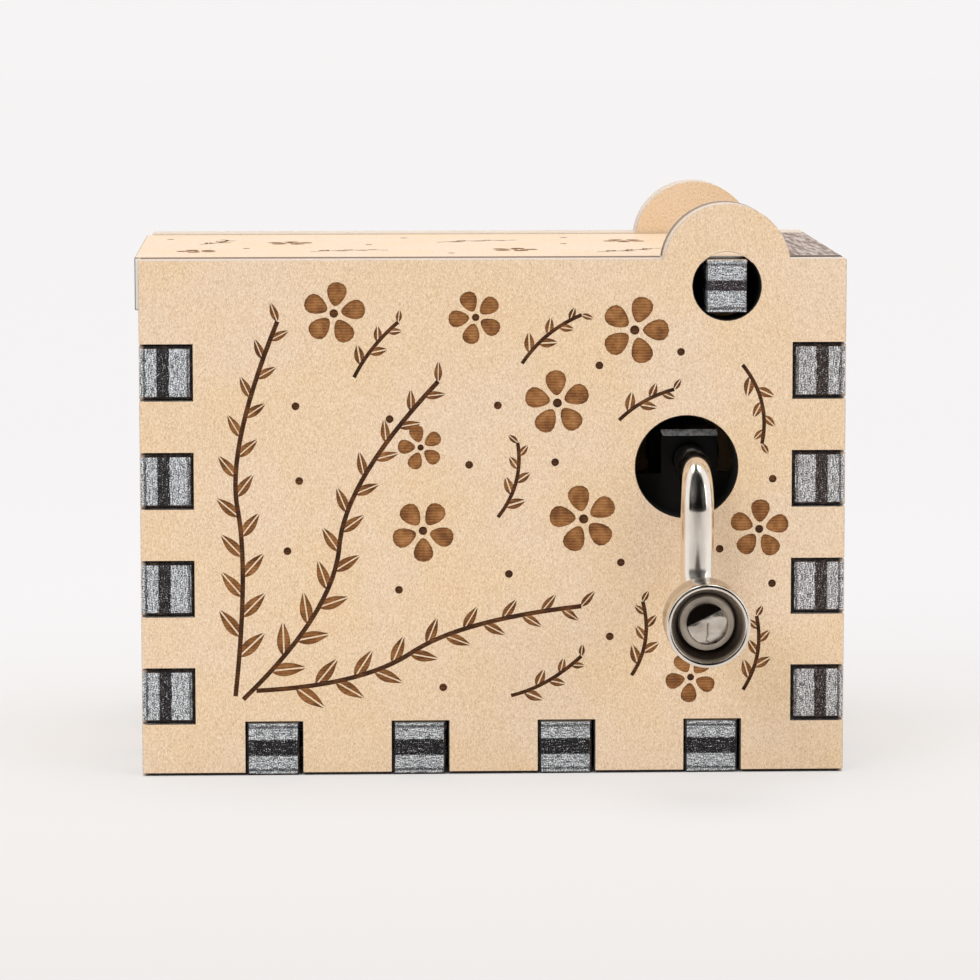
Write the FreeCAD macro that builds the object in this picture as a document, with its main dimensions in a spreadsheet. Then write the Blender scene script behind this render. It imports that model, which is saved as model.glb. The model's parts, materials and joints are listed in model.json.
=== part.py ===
"""Hand-cranked cylinder music box in a finger-jointed plywood case.

Frame: +X right, +Y away from the crank, +Z up. The origin is the middle of the underside.
All lengths are millimetres. The crank shaft runs along Y, the drum's arbor along X below it.
"""
import FreeCAD, Part
import math
import os
import Sketcher

# Driving dimensions of the plywood case
CASE_DIMENSIONS = {
    "case_width": 64.0,
    "wall_height": 47.0,
    "ply_thickness": 4.8,
    "joint_gap": 0.1,
    "finger_height": 5.05,
    "finger_count": 4,
    "finger_top_margin": 2.7,
    "base_tab_width": 5.15,
    "base_tab_slack": 0.3,
    "base_tab_count": 4,
    "base_tab_margin": 4.625,
    "side_tab_width": 5.25,
    "side_tab_count": 2,
    "side_tab_margin": 5.0,
    "ear_radius": 5.8,
    "ear_rise": 5.0,
    "hinge_inset": 10.85,
    "hinge_gap": 0.08,
    "peg_width": 3.63,
    "lid_drop": 0.05,
    "lid_side_gap": 0.25,
    "lid_overhang": 0.5,
    "lid_tail_gap": 1.45,
    "lid_seat_gap": 0.05,
    "crank_hole_diameter": 9.3,
    "crank_hole_shift_left": 0.65,
    "crank_hole_shift_down": 0.07,
}

# Driving dimensions of the crank, its worm and its knob
CRANK_DIMENSIONS = {
    "shaft_inset": 13.8,
    "rod_diameter": 3.0,
    "running_gap": 0.05,
    "press_gap": 0.02,
    "arm_standoff": 4.2,
    "crank_throw": 12.2,
    "bend_radius": 3.6,
    "shaft_tail": 0.8,
    "gear_module": 0.7,
    "gear_teeth": 16,
    "gear_width": 1.8,
    "gear_side_gap": 0.35,
    "tooth_addendum": 0.5,
    "tooth_dedendum": 0.8,
    "mesh_backlash": 0.25,
    "worm_pitch_radius": 2.9,
    "worm_turns_each_way": 1,
    "thrust_washer_thickness": 0.65,
    "thrust_washer_radius": 2.4,
    "spacer_radius": 2.2,
    "axial_play": 0.1,
    "knob_length": 9.2,
    "knob_radius": 3.7,
    "knob_back_radius": 2.4,
    "knob_barrel_length": 4.8,
    "knob_rim_chamfer": 0.25,
    "knob_rim_width": 0.25,
    "knob_floor_width": 1.0,
    "knob_cup_depth": 2.4,
    "knob_washer_thickness": 0.4,
    "rivet_flare": 0.3,
    "rivet_length": 0.7,
    "rivet_dome": 0.3,
}

# Driving dimensions of the movement that the crank turns
MOVEMENT_DIMENSIONS = {
    "frame_gap": 0.5,
    "boss_height": 3.2,
    "boss_radius": 2.8,
    "boss_edge": 3.2,
    "plate_thickness": 2.4,
    "plate_margin": 1.0,
    "bracket_width": 5.2,
    "bracket_floor": 1.8,
    "bracket_floor_gap": 1.3,
    "bracket_plate_thickness": 2.0,
    "bracket_plate_width": 13.0,
    "bracket_shoulder": 1.3,
    "bracket_crown": 2.75,
    "bracket_post_thickness": 2.2,
    "lug_gap": 0.2,
    "lug_thickness": 2.2,
    "lug_radius": 2.6,
    "arbor_diameter": 2.0,
    "arbor_overhang": 0.6,
    "hub_radius": 2.2,
    "cap_hub_length": 1.2,
    "plug_depth": 2.5,
    "drum_radius": 5.6,
    "drum_wall": 0.6,
    "drum_margin": 0.6,
    "drum_worm_gap": 0.4,
    "pin_height": 0.6,
    "pin_base_radius": 0.3,
    "pin_tip_radius": 0.18,
    "tooth_count": 18,
    "tooth_pitch": 1.25,
    "tooth_length": 10.25,
    "tooth_slot": 0.3,
    "tooth_thinning": 0.35,
    "tip_gap": 0.2,
    "comb_thickness": 1.0,
    "comb_lift": 0.3,
    "comb_base_length": 5.5,
    "comb_slant": 3.0,
    "comb_wall_gap": 1.2,
    "lead_count": 8,
    "lead_length": 1.9,
    "lead_height": 1.2,
    "lead_step": 0.1,
    "lead_setback": 0.5,
    "comb_screw_count": 3,
    "comb_screw_spacing": 7.5,
    "screw_radius": 1.0,
    "screw_head_radius": 2.0,
    "screw_head_height": 1.3,
    "screw_depth": 4.0,
    "screw_slot_width": 0.5,
    "screw_slot_depth": 0.6,
    "bracket_screw_depth": 3.6,
    "bracket_screw_margin": 0.4,
    "mount_screw_radius": 1.25,
    "mount_head_radius": 2.5,
    "mount_head_height": 1.5,
    "mount_head_sink": 0.2,
    "mount_screw_cover": 1.2,
    "screw_hole_gap": 0.05,
}

# Angle between a tooth flank and the line square to its axis
FLANK_ANGLE = 20.0
# Every note of the drum sounds this many times in one turn
PINS_PER_NOTE = 4
# Steps in degrees that scatter the pins round the drum as a tune would
NOTE_STEP = 137.0
PIN_SCATTER = 13.0
PIN_SCATTER_COUNT = 5

DIMENSIONS = {**CASE_DIMENSIONS, **CRANK_DIMENSIONS, **MOVEMENT_DIMENSIONS}

doc = FreeCAD.newDocument("music_box")
sheet = doc.addObject("Spreadsheet::Sheet", "dims")
for row, (alias, value) in enumerate(DIMENSIONS.items(), start=1):
    sheet.set(f"A{row}", alias)
    sheet.set(f"B{row}", str(value))
    sheet.setAlias(f"B{row}", alias)
doc.recompute()

# Places worked out from the driving dimensions, as expressions
PLY = "dims.ply_thickness"
HALF_WIDTH = "(dims.case_width / 2)"
INNER_HALF_WIDTH = f"({HALF_WIDTH} - {PLY})"
GEAR_PITCH_RADIUS = "(dims.gear_module * dims.gear_teeth / 2)"
GEAR_OUTER_RADIUS = f"({GEAR_PITCH_RADIUS} + dims.tooth_addendum)"
GEAR_ROOT_RADIUS = f"({GEAR_PITCH_RADIUS} - dims.tooth_dedendum)"
SWEEP_RADIUS = f"max({GEAR_OUTER_RADIUS}; dims.drum_radius + dims.pin_height)"
DRUM_ROOM = f"(dims.frame_gap + dims.bracket_plate_thickness + dims.gear_side_gap + {SWEEP_RADIUS})"
COMB_ROOM = "(dims.tip_gap + dims.tooth_length + dims.comb_base_length + dims.comb_wall_gap)"
INNER_HALF_DEPTH = f"(({DRUM_ROOM} + dims.drum_radius + dims.pin_height + {COMB_ROOM}) / 2)"
HALF_DEPTH = f"({INNER_HALF_DEPTH} + {PLY})"
LID_TOP = "(dims.wall_height - dims.lid_drop)"
LID_UNDERSIDE = f"({LID_TOP} - {PLY})"
LEFT_WALL_TOP = f"({LID_UNDERSIDE} - dims.lid_seat_gap)"
HINGE_X = f"({HALF_WIDTH} - dims.hinge_inset)"
HINGE_Z = f"({LID_TOP} - {PLY} / 2)"
HINGE_HOLE_RADIUS = f"(sqrt(dims.peg_width ^ 2 + {PLY} ^ 2) / 2 + dims.hinge_gap)"
EAR_Z = "(dims.wall_height + dims.ear_rise - dims.ear_radius)"
FINGER_SPAN = f"({LEFT_WALL_TOP} - {PLY} - dims.finger_height - dims.finger_top_margin)"
BASE_TAB_SPAN = f"(2 * {INNER_HALF_WIDTH} - dims.base_tab_width - 2 * dims.base_tab_margin)"
SIDE_TAB_SPAN = f"(2 * {INNER_HALF_DEPTH} - dims.side_tab_width - 2 * dims.side_tab_margin)"

ROD_RADIUS = "(dims.rod_diameter / 2)"
SHAFT_X = f"({HALF_WIDTH} - dims.shaft_inset)"
PLATE_BOTTOM = f"({PLY} + dims.boss_height)"
PLATE_TOP = f"({PLATE_BOTTOM} + dims.plate_thickness)"
BRACKET_FLOOR_TOP = f"({PLATE_TOP} + dims.bracket_floor)"
DRUM_Z = f"({BRACKET_FLOOR_TOP} + dims.bracket_floor_gap + {SWEEP_RADIUS})"
SHAFT_Z = f"({DRUM_Z} + {GEAR_PITCH_RADIUS} + dims.worm_pitch_radius)"
ARM_Y = f"(-{HALF_DEPTH} - dims.arm_standoff)"
KNOB_Z = f"({SHAFT_Z} - dims.crank_throw)"
KNOB_BACK_Y = f"({ARM_Y} - dims.bend_radius - dims.axial_play)"
KNOB_FLOOR_Y = f"({KNOB_BACK_Y} - dims.knob_length + dims.knob_cup_depth)"
KNOB_WASHER_Y = f"({KNOB_FLOOR_Y} - dims.axial_play)"
RIVET_RADIUS = f"({ROD_RADIUS} + dims.rivet_flare)"
KNOB_FLOOR_RADIUS = f"({ROD_RADIUS} + dims.knob_floor_width)"
RIVET_Y = f"({KNOB_WASHER_Y} - dims.knob_washer_thickness)"

THREAD_PITCH = "(pi * dims.gear_module)"
WORM_LENGTH = f"((2 * dims.worm_turns_each_way + 1) * {THREAD_PITCH})"
WORM_OUTER_RADIUS = "(dims.worm_pitch_radius + dims.tooth_addendum)"

BRACKET_FRONT = f"(dims.frame_gap - {INNER_HALF_DEPTH})"
DRUM_Y = f"({DRUM_ROOM} - {INNER_HALF_DEPTH})"
WORM_FRONT = f"({DRUM_Y} - {WORM_LENGTH} / 2)"
WORM_BACK = f"({DRUM_Y} + {WORM_LENGTH} / 2)"
EAR_BACK = f"({WORM_FRONT} - dims.thrust_washer_thickness - dims.axial_play)"
POST_FRONT = f"({DRUM_Y} + {SWEEP_RADIUS} + dims.gear_side_gap)"
POST_BACK = f"({POST_FRONT} + dims.bracket_post_thickness)"
BRACKET_TAIL = "(4 * dims.screw_head_radius + 3 * dims.bracket_screw_margin)"
BRACKET_BACK = f"({POST_BACK} + {BRACKET_TAIL})"
BRACKET_LEFT = f"({SHAFT_X} - dims.bracket_width / 2)"
BRACKET_RIGHT = f"({SHAFT_X} + dims.bracket_width / 2)"

GEAR_LEFT = f"({SHAFT_X} - dims.gear_width / 2)"
RIGHT_LUG_LEFT = f"({BRACKET_RIGHT} + dims.lug_gap)"
RIGHT_LUG_RIGHT = f"({RIGHT_LUG_LEFT} + dims.lug_thickness)"
DRUM_RIGHT = f"({SHAFT_X} - {WORM_OUTER_RADIUS} - dims.drum_worm_gap)"
COMB_RIGHT = f"({DRUM_RIGHT} - dims.drum_margin)"
COMB_LEFT = f"({COMB_RIGHT} - dims.tooth_count * dims.tooth_pitch)"
DRUM_LEFT = f"({COMB_LEFT} - dims.drum_margin)"
DRUM_BORE_RADIUS = "(dims.drum_radius - dims.drum_wall)"
LEFT_LUG_RIGHT = f"({DRUM_LEFT} - dims.cap_hub_length - dims.axial_play)"
LEFT_LUG_LEFT = f"({LEFT_LUG_RIGHT} - dims.lug_thickness)"
ARBOR_LEFT = f"({LEFT_LUG_LEFT} - dims.arbor_overhang)"
ARBOR_RIGHT = f"({RIGHT_LUG_RIGHT} + dims.arbor_overhang)"
ARBOR_RADIUS = "(dims.arbor_diameter / 2)"
PLATE_LEFT = f"({LEFT_LUG_LEFT} - dims.plate_margin)"
PLATE_RIGHT = f"({RIGHT_LUG_RIGHT} + dims.plate_margin)"
PLATE_BACK = f"({INNER_HALF_DEPTH} - dims.frame_gap)"

MOUNT_SCREW_TIP = f"({PLATE_TOP} - dims.mount_screw_cover)"

COMB_BOTTOM = f"({DRUM_Z} + dims.comb_lift - dims.comb_thickness / 2)"
COMB_TOP = f"({COMB_BOTTOM} + dims.comb_thickness)"
COMB_FRONT = f"({DRUM_Y} + dims.drum_radius + dims.pin_height + dims.tip_gap)"
COMB_ROOT = f"({COMB_FRONT} + dims.tooth_length)"
COMB_BACK = f"({COMB_ROOT} + dims.comb_base_length)"
COMB_SCREW_Y = f"({COMB_BACK} - dims.comb_base_length / 2)"
TOOTH_BOTTOM = f"({COMB_BOTTOM} + dims.tooth_thinning)"

# Turns that lay a local Z axis, or a flat panel, into the model's frame
ALONG_Z = FreeCAD.Rotation()
ALONG_X = FreeCAD.Rotation(FreeCAD.Vector(1, 1, 1), 120)
ALONG_Y = FreeCAD.Rotation(FreeCAD.Vector(1, 0, 0), -90)
FACING_FRONT = FreeCAD.Rotation(FreeCAD.Vector(1, 0, 0), 90)
TURNS = {"X": ALONG_X, "Y": ALONG_Y, "Z": ALONG_Z}


def place(thing, x, y, z, turn=ALONG_Z):
    """Put an object's own origin at a place given by three expressions."""
    thing.Placement = FreeCAD.Placement(FreeCAD.Vector(), turn)
    for axis, expression in zip("xyz", (x, y, z)):
        thing.setExpression(f"Placement.Base.{axis}", str(expression))


def box(name, x_span, y_span, z_span):
    """A block between two expressions on each axis."""
    block = doc.addObject("Part::Box", name)
    for size, (low, high) in zip(("Length", "Width", "Height"), (x_span, y_span, z_span)):
        block.setExpression(size, f"{high} - ({low})")
    place(block, x_span[0], y_span[0], z_span[0])
    return block


def base_point(axis, span, across):
    """The start of a round piece along one axis: across gives the other two places in XYZ order."""
    start = list(across)
    start.insert("XYZ".index(axis), span[0])
    return start


def cylinder(name, axis, span, across, radius):
    """A round bar along one axis of the frame."""
    bar = doc.addObject("Part::Cylinder", name)
    bar.setExpression("Radius", radius)
    bar.setExpression("Height", f"{span[1]} - ({span[0]})")
    place(bar, *base_point(axis, span, across), TURNS[axis])
    return bar


def cone(name, axis, span, across, radii):
    """A tapered bar along one axis of the frame."""
    taper = doc.addObject("Part::Cone", name)
    taper.setExpression("Radius1", radii[0])
    taper.setExpression("Radius2", radii[1])
    taper.setExpression("Height", f"{span[1]} - ({span[0]})")
    place(taper, *base_point(axis, span, across), TURNS[axis])
    return taper


def ring(name, axis, span, across, outer, inner):
    """A washer or sleeve along one axis of the frame."""
    return cut(name, cylinder(f"{name}_outside", axis, span, across, outer),
               [cylinder(f"{name}_bore", axis, span, across, inner)])


def fuse(name, pieces):
    """One solid from pieces that meet."""
    whole = doc.addObject("Part::MultiFuse", name)
    whole.Shapes = pieces
    whole.Refine = True
    return whole


def cut(name, base, tools):
    """The base with every tool taken away."""
    result = doc.addObject("Part::Cut", name)
    result.Base = base
    result.Tool = tools[0] if len(tools) == 1 else group(f"{name}_tools", tools)
    result.Refine = True
    return result


def group(name, pieces):
    """Separate solids kept together in one object."""
    bundle = doc.addObject("Part::Compound", name)
    bundle.Links = pieces
    return bundle


def new_body(name, x, y, z, turn=ALONG_Z):
    """An empty body at its place in the frame."""
    body = doc.addObject("PartDesign::Body", name)
    place(body, x, y, z, turn)
    return body


def new_sketch(body, name, plane="XY_Plane"):
    """A sketch on one of the body's own origin planes."""
    planes = {feature.Role: feature for feature in body.Origin.OriginFeatures}
    sketch = body.newObject("Sketcher::SketchObject", f"{body.Name}_{name}")
    sketch.AttachmentSupport = [(planes[plane], "")]
    sketch.MapMode = "FlatFace"
    return sketch


def bind_point(sketch, line, point, x, y):
    """Hold a point of the sketch at two expressions, measured from the sketch's origin."""
    for kind, expression in (("DistanceX", x), ("DistanceY", y)):
        index = sketch.addConstraint(Sketcher.Constraint(kind, -1, 1, line, point, 1.0))
        sketch.setExpression(f"Constraints[{index}]", str(expression))


def polygon(sketch, points):
    """A closed outline through points given as pairs of expressions."""
    count = len(points)
    first = sketch.GeometryCount
    turns = [2 * math.pi * step / count for step in range(count + 1)]
    corners = [FreeCAD.Vector(math.cos(turn), math.sin(turn), 0) for turn in turns]
    for step in range(count):
        sketch.addGeometry(Part.LineSegment(corners[step], corners[step + 1]))
    for step in range(count):
        following = first + (step + 1) % count
        sketch.addConstraint(Sketcher.Constraint("Coincident", first + step, 2, following, 1))
    for step, (x, y) in enumerate(points):
        bind_point(sketch, first + step, 1, x, y)


def rectangle(sketch, x_span, y_span):
    """A rectangle between two expressions each way."""
    (left, right), (low, high) = x_span, y_span
    polygon(sketch, [(left, low), (right, low), (right, high), (left, high)])


def circle(sketch, x, y, radius):
    """A circle whose middle and radius are expressions."""
    line = sketch.GeometryCount
    sketch.addGeometry(Part.Circle(FreeCAD.Vector(0, 0, 0), FreeCAD.Vector(0, 0, 1), 1.0))
    bind_point(sketch, line, 3, x, y)
    index = sketch.addConstraint(Sketcher.Constraint("Radius", line, 1.0))
    sketch.setExpression(f"Constraints[{index}]", radius)


def pad(body, sketch, length):
    """Raise the sketch out of its plane."""
    feature = body.newObject("PartDesign::Pad", f"{sketch.Name}_pad")
    feature.Profile = sketch
    feature.setExpression("Length", length)
    body.Tip = feature
    return feature


def pocket(body, sketch, depth):
    """Cut the sketch into the solid that lies above its plane."""
    feature = body.newObject("PartDesign::Pocket", f"{sketch.Name}_pocket")
    feature.Profile = sketch
    feature.Reversed = True
    feature.setExpression("Length", depth)
    body.Tip = feature
    return feature


def repeat(body, feature, sketch, axis, span, count):
    """Copies of a feature in a row along one axis of its sketch."""
    pattern = body.newObject("PartDesign::LinearPattern", f"{feature.Name}_row")
    pattern.Originals = [feature]
    pattern.Direction = (sketch, [axis])
    pattern.setExpression("Length", span)
    pattern.setExpression("Occurrences", count)
    body.Tip = pattern
    return pattern


def revolve(body, sketch):
    """Turn the sketch once round its own upright axis."""
    feature = body.newObject("PartDesign::Revolution", f"{sketch.Name}_turned")
    feature.Profile = sketch
    feature.ReferenceAxis = (sketch, ["V_Axis"])
    feature.Angle = 360
    body.Tip = feature
    return feature


def bore(body, radius, depth):
    """A round hole up the body's own Z axis."""
    sketch = new_sketch(body, "bore")
    circle(sketch, 0, 0, radius)
    return pocket(body, sketch, depth)


def long_wall(name, face_y, holes):
    """The front or rear wall: notches for the side walls and the bottom, and a hinge ear."""
    body = new_body(name, 0, face_y, 0, FACING_FRONT)
    outline = new_sketch(body, "outline")
    rectangle(outline, (f"-{HALF_WIDTH}", HALF_WIDTH), (0, "dims.wall_height"))
    pad(body, outline, PLY)
    ear = new_sketch(body, "ear")
    circle(ear, HINGE_X, EAR_Z, "dims.ear_radius")
    pad(body, ear, PLY)

    fingers = new_sketch(body, "finger_notches")
    lowest = (PLY, f"{PLY} + dims.finger_height")
    rectangle(fingers, (f"-{HALF_WIDTH} - dims.joint_gap", f"-{INNER_HALF_WIDTH}"), lowest)
    rectangle(fingers, (INNER_HALF_WIDTH, f"{HALF_WIDTH} + dims.joint_gap"), lowest)
    notch = pocket(body, fingers, PLY)
    repeat(body, notch, fingers, "V_Axis", FINGER_SPAN, "dims.finger_count")

    base_slots = new_sketch(body, "base_slots")
    slot_left = f"-{BASE_TAB_SPAN} / 2 - dims.base_tab_width / 2"
    slot_span = (slot_left, f"{slot_left} + dims.base_tab_width")
    rectangle(base_slots, slot_span, ("-dims.joint_gap", f"{PLY} + dims.joint_gap"))
    slot = pocket(body, base_slots, PLY)
    repeat(body, slot, base_slots, "H_Axis", BASE_TAB_SPAN, "dims.base_tab_count")

    hole_sketch = new_sketch(body, "holes")
    for x, z, radius in holes:
        circle(hole_sketch, x, z, radius)
    pocket(body, hole_sketch, PLY)
    return body


def side_wall(name, face_x, top):
    """The left or right wall: tabs that pass through the long walls, slots for the bottom."""
    body = new_body(name, face_x, 0, 0, ALONG_X)
    outline = new_sketch(body, "outline")
    rectangle(outline, (f"-{INNER_HALF_DEPTH}", INNER_HALF_DEPTH), (0, top))
    pad(body, outline, PLY)

    tabs = new_sketch(body, "tabs")
    lowest = (f"{PLY} + dims.joint_gap", f"{PLY} + dims.finger_height - dims.joint_gap")
    rectangle(tabs, (f"-{HALF_DEPTH}", f"-{INNER_HALF_DEPTH}"), lowest)
    rectangle(tabs, (INNER_HALF_DEPTH, HALF_DEPTH), lowest)
    tab = pad(body, tabs, PLY)
    repeat(body, tab, tabs, "V_Axis", FINGER_SPAN, "dims.finger_count")

    slots = new_sketch(body, "base_slots")
    slot_left = f"-{SIDE_TAB_SPAN} / 2 - dims.side_tab_width / 2"
    slot_span = (slot_left, f"{slot_left} + dims.side_tab_width")
    rectangle(slots, slot_span, ("-dims.joint_gap", f"{PLY} + dims.joint_gap"))
    slot = pocket(body, slots, PLY)
    repeat(body, slot, slots, "H_Axis", SIDE_TAB_SPAN, "dims.side_tab_count")
    return body


def mount_places():
    """The four places where screws hold the bedplate down on the bottom panel."""
    left, right = f"({PLATE_LEFT} + dims.boss_edge)", f"({PLATE_RIGHT} - dims.boss_edge)"
    front, back = f"({BRACKET_FRONT} + dims.boss_edge)", f"({PLATE_BACK} - dims.boss_edge)"
    return [(x, y) for x in (left, right) for y in (front, back)]


def bottom_panel():
    """The floor of the case, with tabs on all four sides and countersunk screw holes."""
    name = "bottom_panel"
    body = new_body(f"{name}_blank", 0, 0, 0)
    outline = new_sketch(body, "outline")
    half_width = f"({INNER_HALF_WIDTH} - dims.joint_gap)"
    half_depth = f"({INNER_HALF_DEPTH} - dims.joint_gap)"
    rectangle(outline, (f"-{half_width}", half_width), (f"-{half_depth}", half_depth))
    pad(body, outline, PLY)

    long_tabs = new_sketch(body, "long_tabs")
    tab_left = f"-{BASE_TAB_SPAN} / 2 - dims.base_tab_width / 2 + dims.joint_gap"
    tab_right = f"-{BASE_TAB_SPAN} / 2 + dims.base_tab_width / 2 - dims.base_tab_slack"
    rectangle(long_tabs, (tab_left, tab_right), (f"-{HALF_DEPTH}", f"-{half_depth}"))
    rectangle(long_tabs, (tab_left, tab_right), (half_depth, HALF_DEPTH))
    tab = pad(body, long_tabs, PLY)
    repeat(body, tab, long_tabs, "H_Axis", BASE_TAB_SPAN, "dims.base_tab_count")

    side_tabs = new_sketch(body, "side_tabs")
    tab_front = f"-{SIDE_TAB_SPAN} / 2 - dims.side_tab_width / 2 + dims.joint_gap"
    tab_back = f"-{SIDE_TAB_SPAN} / 2 + dims.side_tab_width / 2 - dims.joint_gap"
    rectangle(side_tabs, (f"-{HALF_WIDTH}", f"-{half_width}"), (tab_front, tab_back))
    rectangle(side_tabs, (half_width, HALF_WIDTH), (tab_front, tab_back))
    tab = pad(body, side_tabs, PLY)
    repeat(body, tab, side_tabs, "V_Axis", SIDE_TAB_SPAN, "dims.side_tab_count")

    sink_top = "dims.mount_head_sink + dims.mount_head_height"
    holes = []
    for step, across in enumerate(mount_places()):
        label = f"{name}_hole_{step}"
        head_radius = "dims.mount_head_radius + dims.screw_hole_gap"
        shank_radius = "dims.mount_screw_radius + dims.screw_hole_gap"
        holes.append(cylinder(f"{label}_shank", "Z", (0, PLY), across, shank_radius))
        holes.append(cylinder(f"{label}_mouth", "Z", (0, "dims.mount_head_sink"), across, head_radius))
        holes.append(cone(f"{label}_sink", "Z", ("dims.mount_head_sink", sink_top), across,
                          (head_radius, shank_radius)))
    return cut(name, body, holes)


def lid():
    """The lid: a plate between the long walls with two hinge pegs that end flush with them."""
    body = new_body("lid", 0, 0, LID_UNDERSIDE)
    plate = new_sketch(body, "plate")
    half_depth = f"({INNER_HALF_DEPTH} - dims.lid_side_gap)"
    rectangle(plate, (f"-{HALF_WIDTH} - dims.lid_overhang", f"{INNER_HALF_WIDTH} - dims.lid_tail_gap"),
              (f"-{half_depth}", half_depth))
    pad(body, plate, PLY)
    pegs = new_sketch(body, "pegs")
    peg_span = (f"{HINGE_X} - dims.peg_width / 2", f"{HINGE_X} + dims.peg_width / 2")
    rectangle(pegs, peg_span, (f"-{HALF_DEPTH}", HALF_DEPTH))
    pad(body, pegs, PLY)
    return body


def lug(name, x_span):
    """An upright with a round top that carries one end of the drum's arbor."""
    y_span = (f"{DRUM_Y} - dims.lug_radius", f"{DRUM_Y} + dims.lug_radius")
    return [box(f"{name}_upright", x_span, y_span, (PLATE_TOP, DRUM_Z)),
            cylinder(f"{name}_crown", "X", x_span, (DRUM_Y, DRUM_Z), "dims.lug_radius")]


def comb_screw_places():
    """The row of screws along the comb's thick rear strip."""
    middle = f"({COMB_LEFT} + {COMB_RIGHT}) / 2"
    count = int(DIMENSIONS["comb_screw_count"])
    offsets = [step - (count - 1) / 2 for step in range(count)]
    return [(f"({middle} + {offset} * dims.comb_screw_spacing)", COMB_SCREW_Y) for offset in offsets]


def bracket_screw_places():
    """Two screws through the bracket's tail, behind its rear post."""
    first = f"({POST_BACK} + dims.bracket_screw_margin + dims.screw_head_radius)"
    second = f"({first} + dims.bracket_screw_margin + 2 * dims.screw_head_radius)"
    return [(SHAFT_X, first), (SHAFT_X, second)]


def bedplate():
    """The cast plate of the movement, with bosses below and lugs and the comb's platform above."""
    name = "bedplate"
    pieces = [box(f"{name}_plate", (PLATE_LEFT, PLATE_RIGHT), (BRACKET_FRONT, PLATE_BACK),
                  (PLATE_BOTTOM, PLATE_TOP)),
              box(f"{name}_comb_platform", (COMB_LEFT, COMB_RIGHT), (COMB_ROOT, COMB_BACK),
                  (PLATE_TOP, COMB_BOTTOM))]
    pieces += lug(f"{name}_left_lug", (LEFT_LUG_LEFT, LEFT_LUG_RIGHT))
    pieces += lug(f"{name}_right_lug", (RIGHT_LUG_LEFT, RIGHT_LUG_RIGHT))
    holes = [cylinder(f"{name}_arbor_bore", "X", (LEFT_LUG_LEFT, RIGHT_LUG_RIGHT), (DRUM_Y, DRUM_Z),
                      f"{ARBOR_RADIUS} + dims.running_gap")]
    for step, across in enumerate(mount_places()):
        pieces.append(cylinder(f"{name}_boss_{step}", "Z", (PLY, PLATE_BOTTOM), across,
                               "dims.boss_radius"))
        holes.append(cylinder(f"{name}_mount_hole_{step}", "Z", (PLY, MOUNT_SCREW_TIP), across,
                              "dims.mount_screw_radius + dims.press_gap"))
    for step, across in enumerate(comb_screw_places()):
        holes.append(cylinder(f"{name}_comb_hole_{step}", "Z",
                              (f"{COMB_BOTTOM} - dims.screw_depth", COMB_BOTTOM), across,
                              "dims.screw_radius + dims.press_gap"))
    for step, across in enumerate(bracket_screw_places()):
        holes.append(cylinder(f"{name}_bracket_hole_{step}", "Z",
                              (f"{BRACKET_FLOOR_TOP} - dims.bracket_screw_depth", PLATE_TOP), across,
                              "dims.screw_radius + dims.press_gap"))
    return cut(name, fuse(f"{name}_casting", pieces), holes)


def crank_bracket():
    """The black moulding that carries the crank shaft in front of and behind the worm."""
    name = "crank_bracket"
    across_x = (BRACKET_LEFT, BRACKET_RIGHT)
    shoulder = f"({SHAFT_Z} - dims.bracket_shoulder)"
    crown = f"({SHAFT_Z} + dims.bracket_crown)"
    plate_back = f"({BRACKET_FRONT} + dims.bracket_plate_thickness)"
    plate_x = (f"{SHAFT_X} - dims.bracket_plate_width / 2", f"{SHAFT_X} + dims.bracket_plate_width / 2")
    pieces = [
        box(f"{name}_floor", across_x, (BRACKET_FRONT, BRACKET_BACK), (PLATE_TOP, BRACKET_FLOOR_TOP)),
        box(f"{name}_front_plate", plate_x, (BRACKET_FRONT, plate_back), (PLATE_TOP, shoulder)),
        box(f"{name}_front_ear", across_x, (BRACKET_FRONT, EAR_BACK), (shoulder, crown)),
        box(f"{name}_rear_post", across_x, (POST_FRONT, POST_BACK), (BRACKET_FLOOR_TOP, crown)),
    ]
    holes = [cylinder(f"{name}_shaft_bore", "Y", (BRACKET_FRONT, POST_BACK), (SHAFT_X, SHAFT_Z),
                      f"{ROD_RADIUS} + dims.running_gap")]
    for step, across in enumerate(bracket_screw_places()):
        holes.append(cylinder(f"{name}_screw_hole_{step}", "Z", (PLATE_TOP, BRACKET_FLOOR_TOP), across,
                              "dims.screw_radius + dims.screw_hole_gap"))
    return cut(name, fuse(f"{name}_moulding", pieces), holes)


def comb():
    """The steel comb: one tooth for each note, longer towards the bass end on the left."""
    name = "comb"
    blank = box(f"{name}_blank", (COMB_LEFT, COMB_RIGHT), (COMB_FRONT, COMB_BACK),
                (COMB_BOTTOM, COMB_TOP))
    count = int(DIMENSIONS["tooth_count"])
    cuts = [box(f"{name}_thinning", (COMB_LEFT, COMB_RIGHT),
                (COMB_FRONT, f"{COMB_ROOT} - dims.comb_slant"), (COMB_BOTTOM, TOOTH_BOTTOM))]
    for step in range(1, count):
        middle = f"({COMB_LEFT} + {step} * dims.tooth_pitch)"
        slot = (f"{middle} - dims.tooth_slot / 2", f"{middle} + dims.tooth_slot / 2")
        slot_end = f"{COMB_ROOT} - dims.comb_slant * {step} / dims.tooth_count"
        cuts.append(box(f"{name}_slot_{step}", slot, (COMB_FRONT, slot_end), (COMB_BOTTOM, COMB_TOP)))
    for step, across in enumerate(comb_screw_places()):
        cuts.append(cylinder(f"{name}_screw_hole_{step}", "Z", (COMB_BOTTOM, COMB_TOP), across,
                             "dims.screw_radius + dims.screw_hole_gap"))
    return cut(name, blank, [fuse(f"{name}_cuts", cuts)])


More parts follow.
